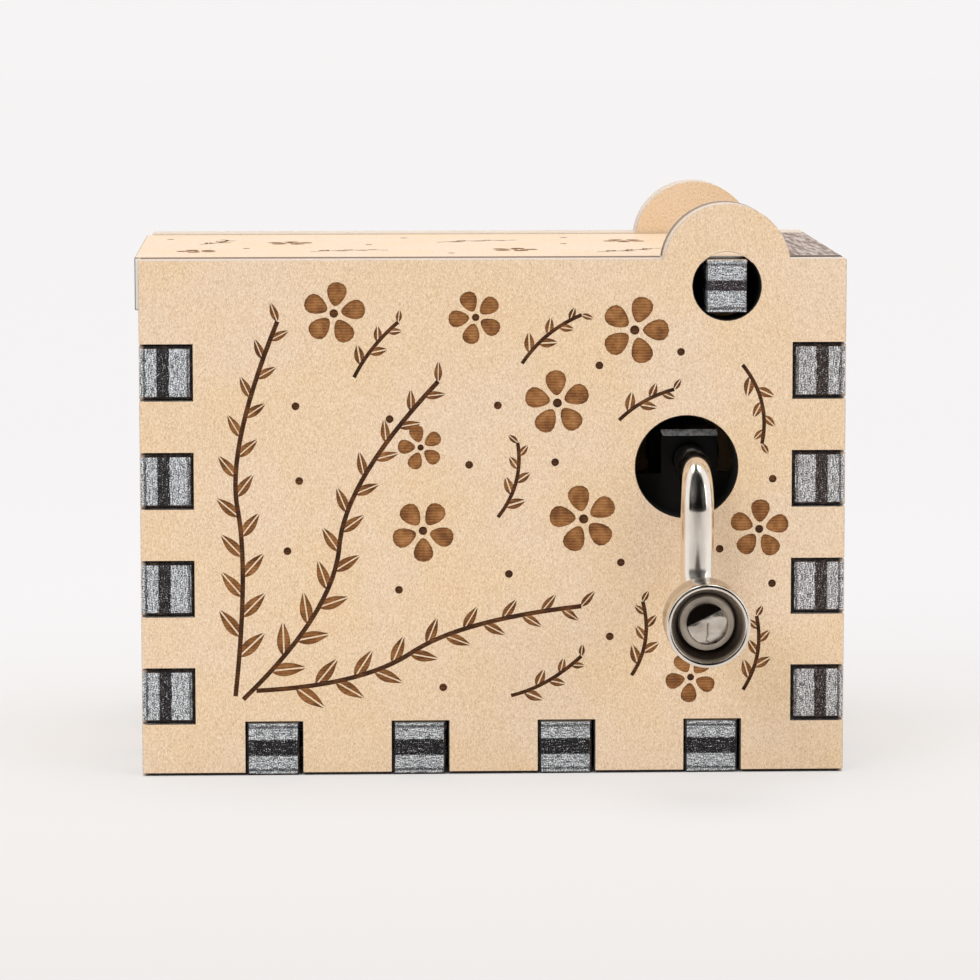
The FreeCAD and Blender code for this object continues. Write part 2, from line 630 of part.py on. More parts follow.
def comb_leads():
    """Lead weights under the tips of the bass teeth, each smaller than the one before."""
    leads = []
    for step in range(int(DIMENSIONS["lead_count"])):
        left = f"{COMB_LEFT} + {step} * dims.tooth_pitch + dims.tooth_slot / 2"
        right = f"{COMB_LEFT} + {step + 1} * dims.tooth_pitch - dims.tooth_slot / 2"
        front = f"({COMB_FRONT} + dims.lead_setback)"
        back = f"{front} + dims.lead_length - {step} * dims.lead_step"
        bottom = f"{TOOTH_BOTTOM} - dims.lead_height + {step} * dims.lead_step"
        leads.append(box(f"comb_lead_{step}", (left, right), (front, back), (bottom, TOOTH_BOTTOM)))
    return group("comb_leads", leads)


def slotted_screw(name, across, seat, depth):
    """A cheese-head screw whose head sits on the seat, with a slot across it."""
    top = f"({seat} + dims.screw_head_height)"
    x, y = across
    solid = fuse(f"{name}_solid", [
        cylinder(f"{name}_shank", "Z", (f"{seat} - {depth}", seat), across, "dims.screw_radius"),
        cylinder(f"{name}_head", "Z", (seat, top), across, "dims.screw_head_radius"),
    ])
    slot = box(f"{name}_slot",
               (f"{x} - dims.screw_head_radius", f"{x} + dims.screw_head_radius"),
               (f"{y} - dims.screw_slot_width / 2", f"{y} + dims.screw_slot_width / 2"),
               (f"{top} - dims.screw_slot_depth", top))
    return cut(name, solid, [slot])


def comb_screws():
    """The screws that clamp the comb to its platform."""
    depth = "(dims.screw_depth + dims.comb_thickness)"
    return group("comb_screws", [slotted_screw(f"comb_screw_{step}", across, COMB_TOP, depth)
                                 for step, across in enumerate(comb_screw_places())])


def bracket_screws():
    """The screws that hold the crank bracket on the bedplate."""
    return group("bracket_screws", [slotted_screw(f"bracket_screw_{step}", across, BRACKET_FLOOR_TOP,
                                                  "dims.bracket_screw_depth")
                                    for step, across in enumerate(bracket_screw_places())])


def mounting_screws():
    """Countersunk screws that come up through the bottom panel into the bedplate's bosses."""
    screws = []
    sink = "dims.mount_head_sink"
    for step, across in enumerate(mount_places()):
        name = f"mounting_screw_{step}"
        x, y = across
        solid = fuse(f"{name}_solid", [
            cone(f"{name}_head", "Z", (sink, f"{sink} + dims.mount_head_height"), across,
                 ("dims.mount_head_radius", "dims.mount_screw_radius")),
            cylinder(f"{name}_shank", "Z", (f"{sink} + dims.mount_head_height", MOUNT_SCREW_TIP), across,
                     "dims.mount_screw_radius"),
        ])
        slot = box(f"{name}_slot",
                   (f"{x} - dims.mount_head_radius", f"{x} + dims.mount_head_radius"),
                   (f"{y} - dims.screw_slot_width / 2", f"{y} + dims.screw_slot_width / 2"),
                   (sink, f"{sink} + dims.screw_slot_depth"))
        screws.append(cut(name, solid, [slot]))
    return group("mounting_screws", screws)


def drum():
    """The note drum: a thin tube with pins raised on it, one track of pins for each tooth."""
    name = "drum"
    middle = (DRUM_Y, DRUM_Z)
    pieces = [ring(f"{name}_tube", "X", (DRUM_LEFT, DRUM_RIGHT), middle, "dims.drum_radius",
                   DRUM_BORE_RADIUS)]
    root = "(dims.drum_radius - dims.drum_wall / 2)"
    for track in range(int(DIMENSIONS["tooth_count"])):
        x = f"{COMB_LEFT} + {track + 0.5} * dims.tooth_pitch"
        for beat in range(PINS_PER_NOTE):
            scatter = PIN_SCATTER * (track * beat % PIN_SCATTER_COUNT)
            turn = (track * NOTE_STEP + beat * 360 / PINS_PER_NOTE + scatter) % 360
            pin = doc.addObject("Part::Cone", f"{name}_pin_{track}_{beat}")
            pin.setExpression("Radius1", "dims.pin_base_radius")
            pin.setExpression("Radius2", "dims.pin_tip_radius")
            pin.setExpression("Height", "dims.drum_wall / 2 + dims.pin_height")
            place(pin, x, f"{DRUM_Y} - {root} * sin({turn})", f"{DRUM_Z} + {root} * cos({turn})",
                  FreeCAD.Rotation(FreeCAD.Vector(1, 0, 0), turn))
            pieces.append(pin)
    return fuse(name, pieces)


def drum_end_cap():
    """The plug in the drum's left end, with a hub that runs against the left lug."""
    name = "drum_end_cap"
    middle = (DRUM_Y, DRUM_Z)
    solid = fuse(f"{name}_solid", [
        cylinder(f"{name}_plug", "X", (DRUM_LEFT, f"{DRUM_LEFT} + dims.plug_depth"), middle,
                 f"{DRUM_BORE_RADIUS} - dims.press_gap"),
        cylinder(f"{name}_hub", "X", (f"{DRUM_LEFT} - dims.cap_hub_length", DRUM_LEFT), middle,
                 "dims.hub_radius"),
    ])
    hole = cylinder(f"{name}_bore", "X",
                    (f"{DRUM_LEFT} - dims.cap_hub_length", f"{DRUM_LEFT} + dims.plug_depth"), middle,
                    f"{ARBOR_RADIUS} + dims.press_gap")
    return cut(name, solid, [hole])


def drum_gear():
    """The wheel that the worm turns, with a plug in the drum and a hub towards the right lug."""
    plug_left = f"({DRUM_RIGHT} - dims.plug_depth)"
    wheel_start = f"({GEAR_LEFT} - {plug_left})"
    total = f"({RIGHT_LUG_LEFT} - dims.axial_play - {plug_left})"
    body = new_body("drum_gear", plug_left, DRUM_Y, DRUM_Z, ALONG_X)
    wheel = new_sketch(body, "wheel")
    circle(wheel, 0, 0, GEAR_OUTER_RADIUS)
    pad(body, wheel, "dims.gear_width")
    wheel.setExpression("AttachmentOffset.Base.z", wheel_start)

    gap = new_sketch(body, "tooth_gap")
    gap.setExpression("AttachmentOffset.Base.z", wheel_start)
    half_gap = f"({THREAD_PITCH} / 4 + dims.mesh_backlash / 2)"
    slope = f"tan({FLANK_ANGLE} + 90 / dims.gear_teeth)"
    mouth_y = f"({GEAR_OUTER_RADIUS} + dims.joint_gap)"
    mouth = f"({half_gap} + ({mouth_y} - {GEAR_PITCH_RADIUS}) * {slope})"
    root = f"({half_gap} - dims.tooth_dedendum * {slope})"
    polygon(gap, [(f"-{root}", GEAR_ROOT_RADIUS), (root, GEAR_ROOT_RADIUS),
                  (mouth, mouth_y), (f"-{mouth}", mouth_y)])
    notch = pocket(body, gap, "dims.gear_width")
    teeth = body.newObject("PartDesign::PolarPattern", "drum_gear_teeth")
    teeth.Originals = [notch]
    teeth.Axis = (gap, ["N_Axis"])
    teeth.Angle = 360
    teeth.setExpression("Occurrences", "dims.gear_teeth")
    body.Tip = teeth

    plug = new_sketch(body, "plug")
    circle(plug, 0, 0, f"{DRUM_BORE_RADIUS} - dims.press_gap")
    pad(body, plug, "dims.plug_depth")
    hub = new_sketch(body, "hub")
    circle(hub, 0, 0, "dims.hub_radius")
    pad(body, hub, total)
    bore(body, f"{ARBOR_RADIUS} + dims.press_gap", total)
    return body


def drum_arbor():
    """The steel pin through the drum, which turns in the two lugs."""
    return cylinder("drum_arbor", "X", (ARBOR_LEFT, ARBOR_RIGHT), (DRUM_Y, DRUM_Z), ARBOR_RADIUS)


def worm():
    """The single-start worm on the crank shaft: a right-hand thread above the wheel."""
    body = new_body("worm", SHAFT_X, WORM_FRONT, SHAFT_Z, ALONG_Y)
    core = new_sketch(body, "core")
    core_radius = "(dims.worm_pitch_radius - dims.tooth_dedendum)"
    circle(core, 0, 0, core_radius)
    pad(body, core, WORM_LENGTH)

    # The thread starts on the wheel's side, so that a crest meets the wheel midway
    thread = new_sketch(body, "thread", "YZ_Plane")
    half_tooth = f"({THREAD_PITCH} / 4 - dims.mesh_backlash / 2)"
    slope = f"tan({FLANK_ANGLE})"
    crest = f"({half_tooth} - dims.tooth_addendum * {slope})"
    foot_depth = "(dims.tooth_dedendum + dims.joint_gap)"
    foot = f"({half_tooth} + {foot_depth} * {slope})"
    start = f"({THREAD_PITCH} / 2)"
    foot_y = f"(dims.worm_pitch_radius - {foot_depth})"
    polygon(thread, [(foot_y, f"{start} - {foot}"), (WORM_OUTER_RADIUS, f"{start} - {crest}"),
                     (WORM_OUTER_RADIUS, f"{start} + {crest}"), (foot_y, f"{start} + {foot}")])
    helix = body.newObject("PartDesign::AdditiveHelix", "worm_thread")
    helix.Profile = thread
    helix.ReferenceAxis = (thread, ["V_Axis"])
    helix.Mode = "pitch-turns-angle"
    helix.setExpression("Pitch", THREAD_PITCH)
    helix.setExpression("Turns", "2 * dims.worm_turns_each_way")
    body.Tip = helix
    bore(body, f"{ROD_RADIUS} + dims.press_gap", WORM_LENGTH)
    return body


def bend(name, y, z, first, second):
    """A quarter turn of the bent rod, from one direction to another in the YZ plane."""
    quarter = doc.addObject("Part::Torus", name)
    quarter.setExpression("Radius1", "dims.bend_radius")
    quarter.setExpression("Radius2", ROD_RADIUS)
    quarter.Angle3 = 90
    turn = FreeCAD.Rotation(first, second, first.cross(second), "XYZ")
    place(quarter, SHAFT_X, y, z, turn)
    return quarter


def crank_rod():
    """One bent steel rod: shaft, arm and handle, with its front end riveted over."""
    name = "crank_rod"
    up, down = FreeCAD.Vector(0, 0, 1), FreeCAD.Vector(0, 0, -1)
    forward, backward = FreeCAD.Vector(0, -1, 0), FreeCAD.Vector(0, 1, 0)
    shaft_end = f"({POST_BACK} + dims.shaft_tail)"
    upper_y, upper_z = f"({ARM_Y} + dims.bend_radius)", f"({SHAFT_Z} - dims.bend_radius)"
    lower_y, lower_z = f"({ARM_Y} - dims.bend_radius)", f"({KNOB_Z} + dims.bend_radius)"
    rivet_front = f"({RIVET_Y} - dims.rivet_length)"
    dome_front = f"({rivet_front} - dims.rivet_dome)"
    handle = (SHAFT_X, KNOB_Z)
    return fuse(name, [
        cylinder(f"{name}_shaft", "Y", (upper_y, shaft_end), (SHAFT_X, SHAFT_Z), ROD_RADIUS),
        bend(f"{name}_upper_bend", upper_y, upper_z, up, forward),
        cylinder(f"{name}_arm", "Z", (lower_z, upper_z), (SHAFT_X, ARM_Y), ROD_RADIUS),
        bend(f"{name}_lower_bend", lower_y, lower_z, backward, down),
        cylinder(f"{name}_handle", "Y", (RIVET_Y, lower_y), handle, ROD_RADIUS),
        cylinder(f"{name}_rivet", "Y", (rivet_front, RIVET_Y), handle, RIVET_RADIUS),
        cone(f"{name}_rivet_dome", "Y", (dome_front, rivet_front), handle, (ROD_RADIUS, RIVET_RADIUS)),
    ])


def crank_knob():
    """The turned knob: a barrel with a cupped front and a tapered back, loose on the handle."""
    body = new_body("crank_knob", SHAFT_X, KNOB_BACK_Y, KNOB_Z, FACING_FRONT)
    profile = new_sketch(body, "profile", "XZ_Plane")
    bore_radius = f"({ROD_RADIUS} + dims.running_gap)"
    floor = "(dims.knob_length - dims.knob_cup_depth)"
    taper_end = "(dims.knob_length - dims.knob_barrel_length)"
    rim_edge = "(dims.knob_radius - dims.knob_rim_chamfer)"
    polygon(profile, [
        (bore_radius, 0),
        ("dims.knob_back_radius", 0),
        ("dims.knob_radius", taper_end),
        ("dims.knob_radius", "dims.knob_length - dims.knob_rim_chamfer"),
        (rim_edge, "dims.knob_length"),
        (f"{rim_edge} - dims.knob_rim_width", "dims.knob_length"),
        (KNOB_FLOOR_RADIUS, floor),
        (bore_radius, floor),
    ])
    revolve(body, profile)
    return body


def knob_washer():
    """The washer between the knob's cup and the riveted end of the handle."""
    return ring("knob_washer", "Y", (RIVET_Y, KNOB_WASHER_Y), (SHAFT_X, KNOB_Z),
                f"{KNOB_FLOOR_RADIUS} - dims.joint_gap", f"{ROD_RADIUS} + dims.press_gap")


def thrust_washer():
    """The washer on the shaft between the bracket's front ear and the worm."""
    return ring("thrust_washer", "Y", (f"{EAR_BACK} + dims.axial_play", WORM_FRONT),
                (SHAFT_X, SHAFT_Z), "dims.thrust_washer_radius", f"{ROD_RADIUS} + dims.press_gap")


def worm_spacer():
    """The sleeve on the shaft between the worm and the bracket's rear post."""
    return ring("worm_spacer", "Y", (WORM_BACK, f"{POST_FRONT} - dims.axial_play"),
                (SHAFT_X, SHAFT_Z), "dims.spacer_radius", f"{ROD_RADIUS} + dims.press_gap")


hinge_hole = (HINGE_X, HINGE_Z, HINGE_HOLE_RADIUS)
crank_hole = (f"{SHAFT_X} - dims.crank_hole_shift_left", f"{SHAFT_Z} - dims.crank_hole_shift_down",
              "dims.crank_hole_diameter / 2")

subparts = [
    long_wall("front_wall", f"-{INNER_HALF_DEPTH}", [hinge_hole, crank_hole]),
    long_wall("rear_wall", HALF_DEPTH, [hinge_hole]),
    side_wall("left_wall", f"-{HALF_WIDTH}", LEFT_WALL_TOP),
    side_wall("right_wall", INNER_HALF_WIDTH, "dims.wall_height"),
    bottom_panel(),
    lid(),
    bedplate(),
    crank_bracket(),
    bracket_screws(),
    mounting_screws(),
    comb(),
    comb_leads(),
    comb_screws(),
    drum(),
    drum_end_cap(),
    drum_gear(),
    drum_arbor(),
    crank_rod(),
    worm(),
    thrust_washer(),
    worm_spacer(),
    crank_knob(),
    knob_washer(),
]
doc.recompute()

for thing in doc.Objects:
    if "Invalid" in thing.State or "Error" in thing.State:
        raise RuntimeError(f"{thing.Label} failed: {thing.State}")
for subpart in subparts:
    if subpart.Shape.isNull() or not subpart.Shape.isValid() or not subpart.Shape.Solids:
        raise RuntimeError(f"{subpart.Label} has no valid solid")

os.makedirs("parts", exist_ok=True)
for subpart in subparts:
    subpart.Shape.exportStep(f"parts/{subpart.Label}.step")
    shape = subpart.Shape
    print(f"{subpart.Label}: {len(shape.Solids)} solids, {shape.Volume:.2f} mm3")
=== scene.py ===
import json
import math
from contextlib import contextmanager
from functools import partial

import bmesh
import bpy
from mathutils import Matrix, Vector, noise


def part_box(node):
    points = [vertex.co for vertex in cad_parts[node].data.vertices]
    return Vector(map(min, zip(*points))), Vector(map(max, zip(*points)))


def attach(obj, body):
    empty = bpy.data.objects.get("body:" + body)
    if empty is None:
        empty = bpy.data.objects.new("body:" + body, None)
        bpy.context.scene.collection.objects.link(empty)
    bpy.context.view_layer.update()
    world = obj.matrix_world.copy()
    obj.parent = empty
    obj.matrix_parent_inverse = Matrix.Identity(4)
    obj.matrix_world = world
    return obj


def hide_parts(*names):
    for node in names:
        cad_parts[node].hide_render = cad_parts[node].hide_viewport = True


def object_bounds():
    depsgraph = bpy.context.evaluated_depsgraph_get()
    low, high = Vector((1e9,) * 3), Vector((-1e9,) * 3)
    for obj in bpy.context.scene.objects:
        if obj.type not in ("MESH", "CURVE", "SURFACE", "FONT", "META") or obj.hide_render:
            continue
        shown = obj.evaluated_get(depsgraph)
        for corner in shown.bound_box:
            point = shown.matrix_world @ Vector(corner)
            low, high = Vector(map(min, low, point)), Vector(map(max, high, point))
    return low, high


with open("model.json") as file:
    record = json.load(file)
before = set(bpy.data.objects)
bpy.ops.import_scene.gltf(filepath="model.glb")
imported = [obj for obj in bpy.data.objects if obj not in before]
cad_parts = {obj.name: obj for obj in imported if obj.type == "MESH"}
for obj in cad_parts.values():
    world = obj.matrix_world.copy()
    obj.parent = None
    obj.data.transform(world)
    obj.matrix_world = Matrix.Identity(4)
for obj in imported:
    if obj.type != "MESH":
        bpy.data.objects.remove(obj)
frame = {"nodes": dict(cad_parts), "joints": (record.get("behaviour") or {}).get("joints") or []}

CAD_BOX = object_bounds()
MM = 0.001
X, Y, Z = 0, 1, 2
SLACK = 0.01 * MM
WELD_GAP = 0.001 * MM

# Faces that turn less than FLAT are one face, and edges over the other two angles are shaded sharp
FLAT, SOFT_ANGLE, ROUND_ANGLE = (math.radians(angle) for angle in (0.3, 30, 35))

# The node kinds used most, with their sockets given by number: a Mix blends 2 and 3 as values or 6
# and 7 as colours by 0, and a Map Range takes 0 from between 1 and 2 to between 3 and 4
MATH, VECTOR_MATH, MIX = "ShaderNodeMath", "ShaderNodeVectorMath", "ShaderNodeMix"
RANGE, RAMP, SPLIT = "ShaderNodeMapRange", "ShaderNodeValToRGB", "ShaderNodeSeparateXYZ"
NOISE, BUMP = "ShaderNodeTexNoise", "ShaderNodeBump"

# Places that several pieces share, read from the model
FRONT_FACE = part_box("front_wall")[0].y
CASE_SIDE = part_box("front_wall")[1].x
LID_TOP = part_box("lid")[1].z
BRACKET_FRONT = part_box("crank_bracket")[0].y
BRACKET_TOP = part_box("crank_bracket")[1].z
JOINT_AT = {joint["name"]: Vector(joint["pos_m"]) for joint in frame["joints"]}
SHAFT = JOINT_AT["crank_spin"]
HANDLE = JOINT_AT["knob_spin"]
DRUM_AXIS = JOINT_AT["drum_spin"]
HINGE = JOINT_AT["lid_hinge"]
WALL_TOP = 47.0 * MM
CREST_FOOT = 41 * MM

# Crank rod, knob and bracket
ROD_DIAMETER = 3.0 * MM
ROD_SIDES = 64
BEND_RADIUS = 3.6 * MM
BEND_STEPS = 24
ARM_Y = FRONT_FACE - 4.2 * MM
RIVET_FLARE = 0.3 * MM
RIVET_DOME = 0.3 * MM
RIVET_STEPS = 30
KNOB_BARREL = 4.8 * MM
KNOB_BACK_RADIUS = 2.4 * MM
KNOB_RIM_ROUND = 0.25 * MM
KNOB_RIM_STEPS = 5
KNOB_MOUTH_RADIUS = 3.2 * MM
KNOB_FLOOR_RADIUS = 2.5 * MM
KNOB_CUP_DEPTH = 2.4 * MM
KNOB_BORE_RADIUS = ROD_DIAMETER / 2 + 0.05 * MM
TURNED_STEPS = 96
BRACKET_CHAMFER = 0.5 * MM
BRACKET_EDGE = 0.12 * MM
# How far the bracket's painted highlight reaches past its chamfer
HIGHLIGHT_PAST = 0.05 * MM

# Note drum
DRUM_RADIUS = 5.6 * MM
DRUM_WALL = 0.6 * MM
DRUM_EDGE = 0.12 * MM
PIN_HEIGHT = 0.6 * MM
PIN_BASE, PIN_TIP = 0.26 * MM, 0.16 * MM
PIN_SIDES = 10
NOTE_COUNT = 18
NOTE_PITCH = 1.25 * MM
DRUM_MARGIN = 0.6 * MM
BEATS_PER_TURN = 40
PIN_CHANCE = 0.3
TUNE_SEED = 7

# Laser work: the burnt corner of a cut, and how deep the engraving goes
BURNT_CHAMFER = 0.07 * MM
FOOT_CHAMFER = 0.25 * MM
CUT_CORNER = math.radians(38)
TABBED = ("left_wall", "right_wall", "bottom_panel")
STEM_CUT = 0.22 * MM
LEAF_CUT = 0.18 * MM
DOT_CUT = 0.20 * MM

# Drawn leaves (length, width, and where along it a leaf is fullest), petals (length, width, and gap
# from the middle, for a blossom of size 1) and dots
STEM_WIDTH, TWIG_STEM_WIDTH = 0.42 * MM, 0.34 * MM
LEAF, TWIG_LEAF = (3.3 * MM, 1.15 * MM, 0.42), (2.0 * MM, 0.85 * MM, 0.45)
LEAF_SPACING, TWIG_LEAF_SPACING = 1.75 * MM, 1.15 * MM
LEAF_STEPS = 9
PATH_ORDER, PATH_STEPS = 3, 10
VEIN_GAP = 0.16 * MM
LEAF_ANGLE = math.radians(42)
TIP_SCALE = 0.55
BARE_STEM = 0.09
PETAL = (1.0 * MM, 0.78 * MM, 0.3 * MM)
PETALS = 5
PETAL_SWELL = 0.35
ROUND_STEPS = 14
DOT_UNIT = 1.0 * MM
DOT_SIZE = 0.36
MIDDLE_SHARE = 0.18

# The front's drawing in millimetres across and up: branches, twigs, blossoms (with size and turn)
# and dots
FRONT_BRANCHES = [
    [(-23.5, 7.3), (-22.2, 19.0), (-24.2, 30.0), (-19.5, 41.5)],
    [(-22.8, 7.0), (-14.5, 15.0), (-13.5, 27.0), (-5.0, 36.0)],
    [(-21.6, 7.8), (-12.0, 8.2), (-3.0, 14.2), (8.0, 15.4)],
]
FRONT_TWIGS = [
    [(-12.6, 36.4), (-11.2, 39.2), (-8.6, 41.4)],
    [(2.6, 37.6), (4.6, 40.6), (8.0, 42.0)],
    [(0.4, 23.6), (2.8, 26.6), (2.2, 30.4)],
    [(12.6, 9.0), (14.6, 12.0), (13.6, 15.8)],
    [(22.6, 37.4), (25.2, 34.2), (24.4, 30.2)],
    [(22.8, 7.6), (24.8, 10.8), (24.0, 14.4)],
    [(1.6, 7.2), (5.0, 8.0), (8.0, 10.8)],
    [(11.4, 32.4), (13.4, 34.4), (16.4, 35.2)],
]
FRONT_BLOSSOMS = [
    (-14.4, 42.2, 2.2, 10), (-1.6, 41.8, 1.9, 40), (12.8, 40.6, 2.4, 0), (5.8, 34.0, 2.3, 22),
    (-6.4, 22.4, 2.2, 55), (8.2, 23.4, 2.4, 30), (24.2, 22.4, 2.1, 15), (-6.6, 30.0, 1.6, 33),
    (18.0, 8.8, 1.8, 48),
]
FRONT_DOTS = [
    (-9.4, 32.6), (-17.9, 33.8), (-18.7, 20.6), (0.4, 33.8), (9.6, 37.4), (11.6, 19.4),
    (17.0, 38.6), (1.4, 18.4), (-8.6, 17.0), (10.6, 12.6), (20.6, 20.6), (25.4, 17.4),
    (-2.2, 28.4), (25.4, 27.0), (-17.6, 27.0), (-4.6, 8.0), (5.6, 28.6),
]

# The lid's drawing in millimetres across and back
LID_TWIGS = [
    [(-27.0, 2.0), (-24.5, 4.5), (-24.5, 8.0)],
    [(-16.5, -8.5), (-13.5, -6.5), (-10.0, -6.5)],
    [(-4.5, 4.0), (-1.5, 6.5), (2.5, 6.5)],
    [(10.0, -10.0), (13.5, -8.5), (15.5, -5.5)],
]
LID_BLOSSOMS = [(-18.5, 3.5, 1.7, 12), (-27.0, -7.5, 1.5, 40), (2.5, -6.5, 1.7, 5),
                (13.5, 5.5, 1.6, 50)]
LID_DOTS = [
    (-22.5, -4.0), (-11.0, 1.0), (-7.5, 10.5), (-3.5, -11.0), (7.5, 1.5), (18.0, -1.5),
    (-30.0, 9.5), (8.0, 10.5),
]

# Stage: the floor's tones and the distances over which it changes, its glow, a dark card's outline
# as (half width, y, z) of its foot, its top and its far end, softboxes (place, width, height,
# watts) and the camera, as far back and as high as the photograph's perspective shows
FLOOR_HALF = 2.0
FLOOR_Z = -0.02 * MM
NEAR_FLOOR, MIDDLE_FLOOR, FAR_FLOOR = "#E6E2E1", "#F2EFED", "#F6F4F4"
NEAR_FLOOR_Y, FAR_FLOOR_Y = -300 * MM, 60 * MM
NEAR_GLOW, FAR_GLOW = 0.62, 0.98
NEAR_GLOW_REACH, FAR_GLOW_REACH = 60 * MM, 350 * MM
PAPER_TONE = 0.85
BACKDROP = "#F6F4F4"
AMBIENT = 0.62
CARD_FOOT, CARD_TOP, CARD_END = (0.50, -0.30, 0), (0.11, -0.02, 0.80), (0.11, 0.40, 0.80)
SOFTBOX_AIM = Vector((0, 0, 0.02))
SOFTBOXES = {
    "key_softbox": ((-0.55, -0.75, 0.65), 0.5, 0.6, 3.5),
    "fill_softbox": ((0.75, -0.60, 0.40), 0.5, 0.6, 1.95),
    "top_softbox": ((0.0, 0.05, 0.95), 0.7, 0.7, 4.6),
}
CAMERA_AT = Vector((-15.630, -442.182, 76.345)) * MM
CAMERA_YAW, CAMERA_PITCH, CAMERA_ROLL = 0.03635, 0.11867, -0.00073
LENS, SENSOR = 171.87, 36.0


def linear(hex_colour):
    """An sRGB hex value as the linear colour that a shader takes."""
    channels = [int(hex_colour[i:i + 2], 16) / 255 for i in (1, 3, 5)]
    return [c / 12.92 if c <= 0.04045 else ((c + 0.055) / 1.055) ** 2.4 for c in channels] + [1.0]


def set_inputs(node, inputs):
    """Sets a node's sockets, or links them to a socket or to a node's first output in use."""
    for socket, value in inputs.items():
        if isinstance(value, bpy.types.Node):
            value = next(output for output in value.outputs if output.enabled)
        if isinstance(value, bpy.types.NodeSocket):
            node.id_data.links.new(value, node.inputs[socket])
        else:
            node.inputs[socket].default_value = value


def add_node(tree, kind, inputs=None, stops=None, **settings):
    """Adds a node with its settings, its socket values or links, and a colour ramp's stops."""
    node = tree.nodes.new(kind)
    for name, value in settings.items():
        setattr(node, name, value)
    set_inputs(node, inputs or {})
    if stops:
        ends = node.color_ramp.elements
        ends[0].position, ends[1].position = stops[0][0], stops[-1][0]
        ends[0].color, ends[1].color = linear(stops[0][1]), linear(stops[-1][1])
        for position, colour in stops[1:-1]:
            ends.new(position).color = linear(colour)
    return node


def new_material(name):
    """A material with a Principled shader: it, its node adder, the shader and the coordinates."""
    material = bpy.data.materials.new(name)
    material.use_nodes = True
    material.node_tree.nodes.clear()
    add = partial(add_node, material.node_tree)
    shader = add("ShaderNodeBsdfPrincipled")
    add("ShaderNodeOutputMaterial", {"Surface": shader})
    return material, add, shader, add("ShaderNodeTexCoord").outputs


def off_axis(add, point, x, z):
    """A point's distance from an axis along Y."""
    level = add(VECTOR_MATH, {0: point, 1: (1, 0, 1), 2: (-x, 0, -z)}, operation="MULTIPLY_ADD")
    return add(VECTOR_MATH, {0: level}, operation="LENGTH")


